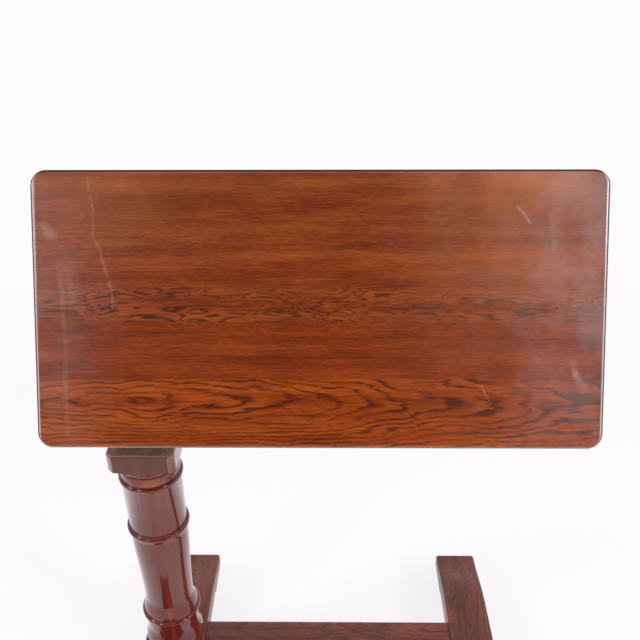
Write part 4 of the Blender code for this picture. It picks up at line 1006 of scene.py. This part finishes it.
start, end, head_radius = span_and_radius("pivot_bolt")
head_face = span_and_radius("bolt_washer_left")[0] - SEAT_GAP
nut_start = span_and_radius("bolt_washer_right")[1] + SEAT_GAP
ridges = np.arange(nut_start, end - BOLT_CHAMFER, THREAD_PITCH / 2)
thread = np.stack([SCREW_RADIUS - THREAD_DEPTH * (np.arange(len(ridges)) % 2), ridges], -1)
dome = arc(0.0, head_face, head_radius, -DOME_DEG, 0, steps=10, rise=head_face - start)
bolt = np.concatenate([[[0.0, start]], dome, [[SCREW_RADIUS, head_face]], thread,
                       [[SCREW_RADIUS - BOLT_CHAMFER, end], [0.0, end]]])
make_piece("threaded_bolt", [turned(bolt, pivot_axis, "X")], dull_steel, "top", "steel", "pivot_bolt")
nut = disc_profile(HUB_RADIUS, nut_start, nut_start + NUT_LENGTH, HUB_EASE, NUT_BORE)
wing_place = box_in_top("wing_nut")[1][0] - PADDLE_HALF_WIDTH
patches = in_world(hand_screw(nut, np.zeros(3), "X", wing_place))
make_piece("winged_nut", patches, aged_brass, "tilt_clamp", "brass", "wing_nut")

# Floor: one wide sheet of white paper under the casters. It keeps the table's soft shadow close by, and
# shows as plain white further off, so that it runs into the background without an edge.
FLOOR_HALF = 14.0
FLOOR_WHITE = "#FEFCFF"
SHADOW_REACH = 0.7  # the table's shadow shows this far out, and is gone at the next distance
PLAIN_REACH = 2.4
SHADOW_GLOW = 0.78  # share of the sheet that shows as plain white, near the table and far off
PLAIN_GLOW = 0.985

floor_mesh = bpy.data.meshes.new("floor")
floor_edge = np.array([(-1, -1, 0), (1, -1, 0), (1, 1, 0), (-1, 1, 0)]) * FLOOR_HALF
floor_mesh.from_pydata(floor_edge, [], [(0, 1, 2, 3)])
put("floor", floor_mesh)
floor_paper, shader, node = new_material("white paper sweep")
floor_paper.node_tree.nodes.remove(shader)
rays = node("LightPath").node.outputs
seen = rays["Is Camera Ray"]
for kind in ("Is Glossy Ray", "Is Transmission Ray"):
    seen = node("Math MAXIMUM", seen, rays[kind])
away = node("VectorMath LENGTH", node("TexCoord", out="Object"))
plain = node("MapRange", away, SHADOW_REACH, PLAIN_REACH, SHADOW_GLOW, PLAIN_GLOW,
             interpolation_type="SMOOTHSTEP")
share = node("Math MULTIPLY", seen, plain)
both = node("MixShader", share, node("BsdfDiffuse", FLOOR_WHITE), node("Emission", FLOOR_WHITE, 1.0))
feed(floor_paper.node_tree.nodes["Material Output"], {"Surface": both})
floor_mesh.materials.append(floor_paper)

# Light: a white studio, dim on the viewer's side, which the polished top mirrors. Two softboxes on either
# side of the viewer give the glare on the ends of the top and the gleam on the mouldings, and one overhead
# fills in. The camera, and any ray through glass, sees plain white all round.
SWEEP_WHITE = "#FBFAFD"
SWEEP_DIM = 0.04
SWEEP_BRIGHT = 1.0
DIM_TOWARD = -0.6  # directions along Y at which the studio is dim, and fully bright
BRIGHT_TOWARD = 0.5
SOFTBOXES = (  # place, size, watts
    ((-1.5, -1.8, 1.9), (0.3, 0.6), 9.5), ((1.9, -1.5, 1.9), (0.4, 0.6), 21.0),
    ((-1.9, -0.6, 1.85), (0.3, 0.6), 14.0), ((1.9, -0.6, 1.85), (0.3, 0.6), 12.0),
    ((0.0, -0.6, 3.0), (2.4, 1.6), 11.0))
SOFTBOX_AIM = (0.0, 0.0, 0.75)

world = bpy.data.worlds.new("studio")
bpy.context.scene.world = world
world.use_nodes = True
node = functools.partial(add_node, world.node_tree)
rays = node("LightPath").node.outputs
seen = node("Math MAXIMUM", rays["Is Camera Ray"], rays["Is Transmission Ray"])
toward_back = node("SeparateXYZ", node("TexCoord", out="Generated"), out="Y")
level = node("MapRange", toward_back, DIM_TOWARD, BRIGHT_TOWARD, SWEEP_DIM, SWEEP_BRIGHT)
level = node("Mix", seen, level, SWEEP_BRIGHT, data_type="FLOAT")
feed(world.node_tree.nodes["Background"], {"Color": SWEEP_WHITE, "Strength": level})
for number, (place, size, watts) in enumerate(SOFTBOXES):
    lamp = bpy.data.lights.new(f"softbox_{number}", "AREA")
    lamp.shape = "RECTANGLE"
    lamp.size, lamp.size_y = size
    lamp.energy = watts
    facing = (Vector(place) - Vector(SOFTBOX_AIM)).to_track_quat("Z", "Y")
    put(f"softbox_{number}", lamp).matrix_world = Matrix.Translation(place) @ facing.to_matrix().to_4x4()

# Camera: a little above the top and in front of it, looking down on its tilted face as the photograph
# does, through a lens a little longer than normal.
CAMERA_PLACE = (0.0123, -0.9347, 1.3501)
CAMERA_PITCH_DEG = 30.878  # below the horizon
CAMERA_YAW_DEG = -0.738  # positive to the right
CAMERA_ROLL_DEG = -0.327
CAMERA_LENS_MM = 42.584
SENSOR_MM = 36.0

camera_data = bpy.data.cameras.new("camera")
camera_data.lens = CAMERA_LENS_MM
camera_data.sensor_width = SENSOR_MM
camera = put("camera", camera_data)
camera.matrix_world = (Matrix.Translation(CAMERA_PLACE)
                       @ Matrix.Rotation(math.radians(-CAMERA_YAW_DEG), 4, "Z")
                       @ Matrix.Rotation(math.radians(90 - CAMERA_PITCH_DEG), 4, "X")
                       @ Matrix.Rotation(math.radians(CAMERA_ROLL_DEG), 4, "Z"))
bpy.context.scene.camera = camera
bpy.context.scene.view_settings.view_transform = "Standard"
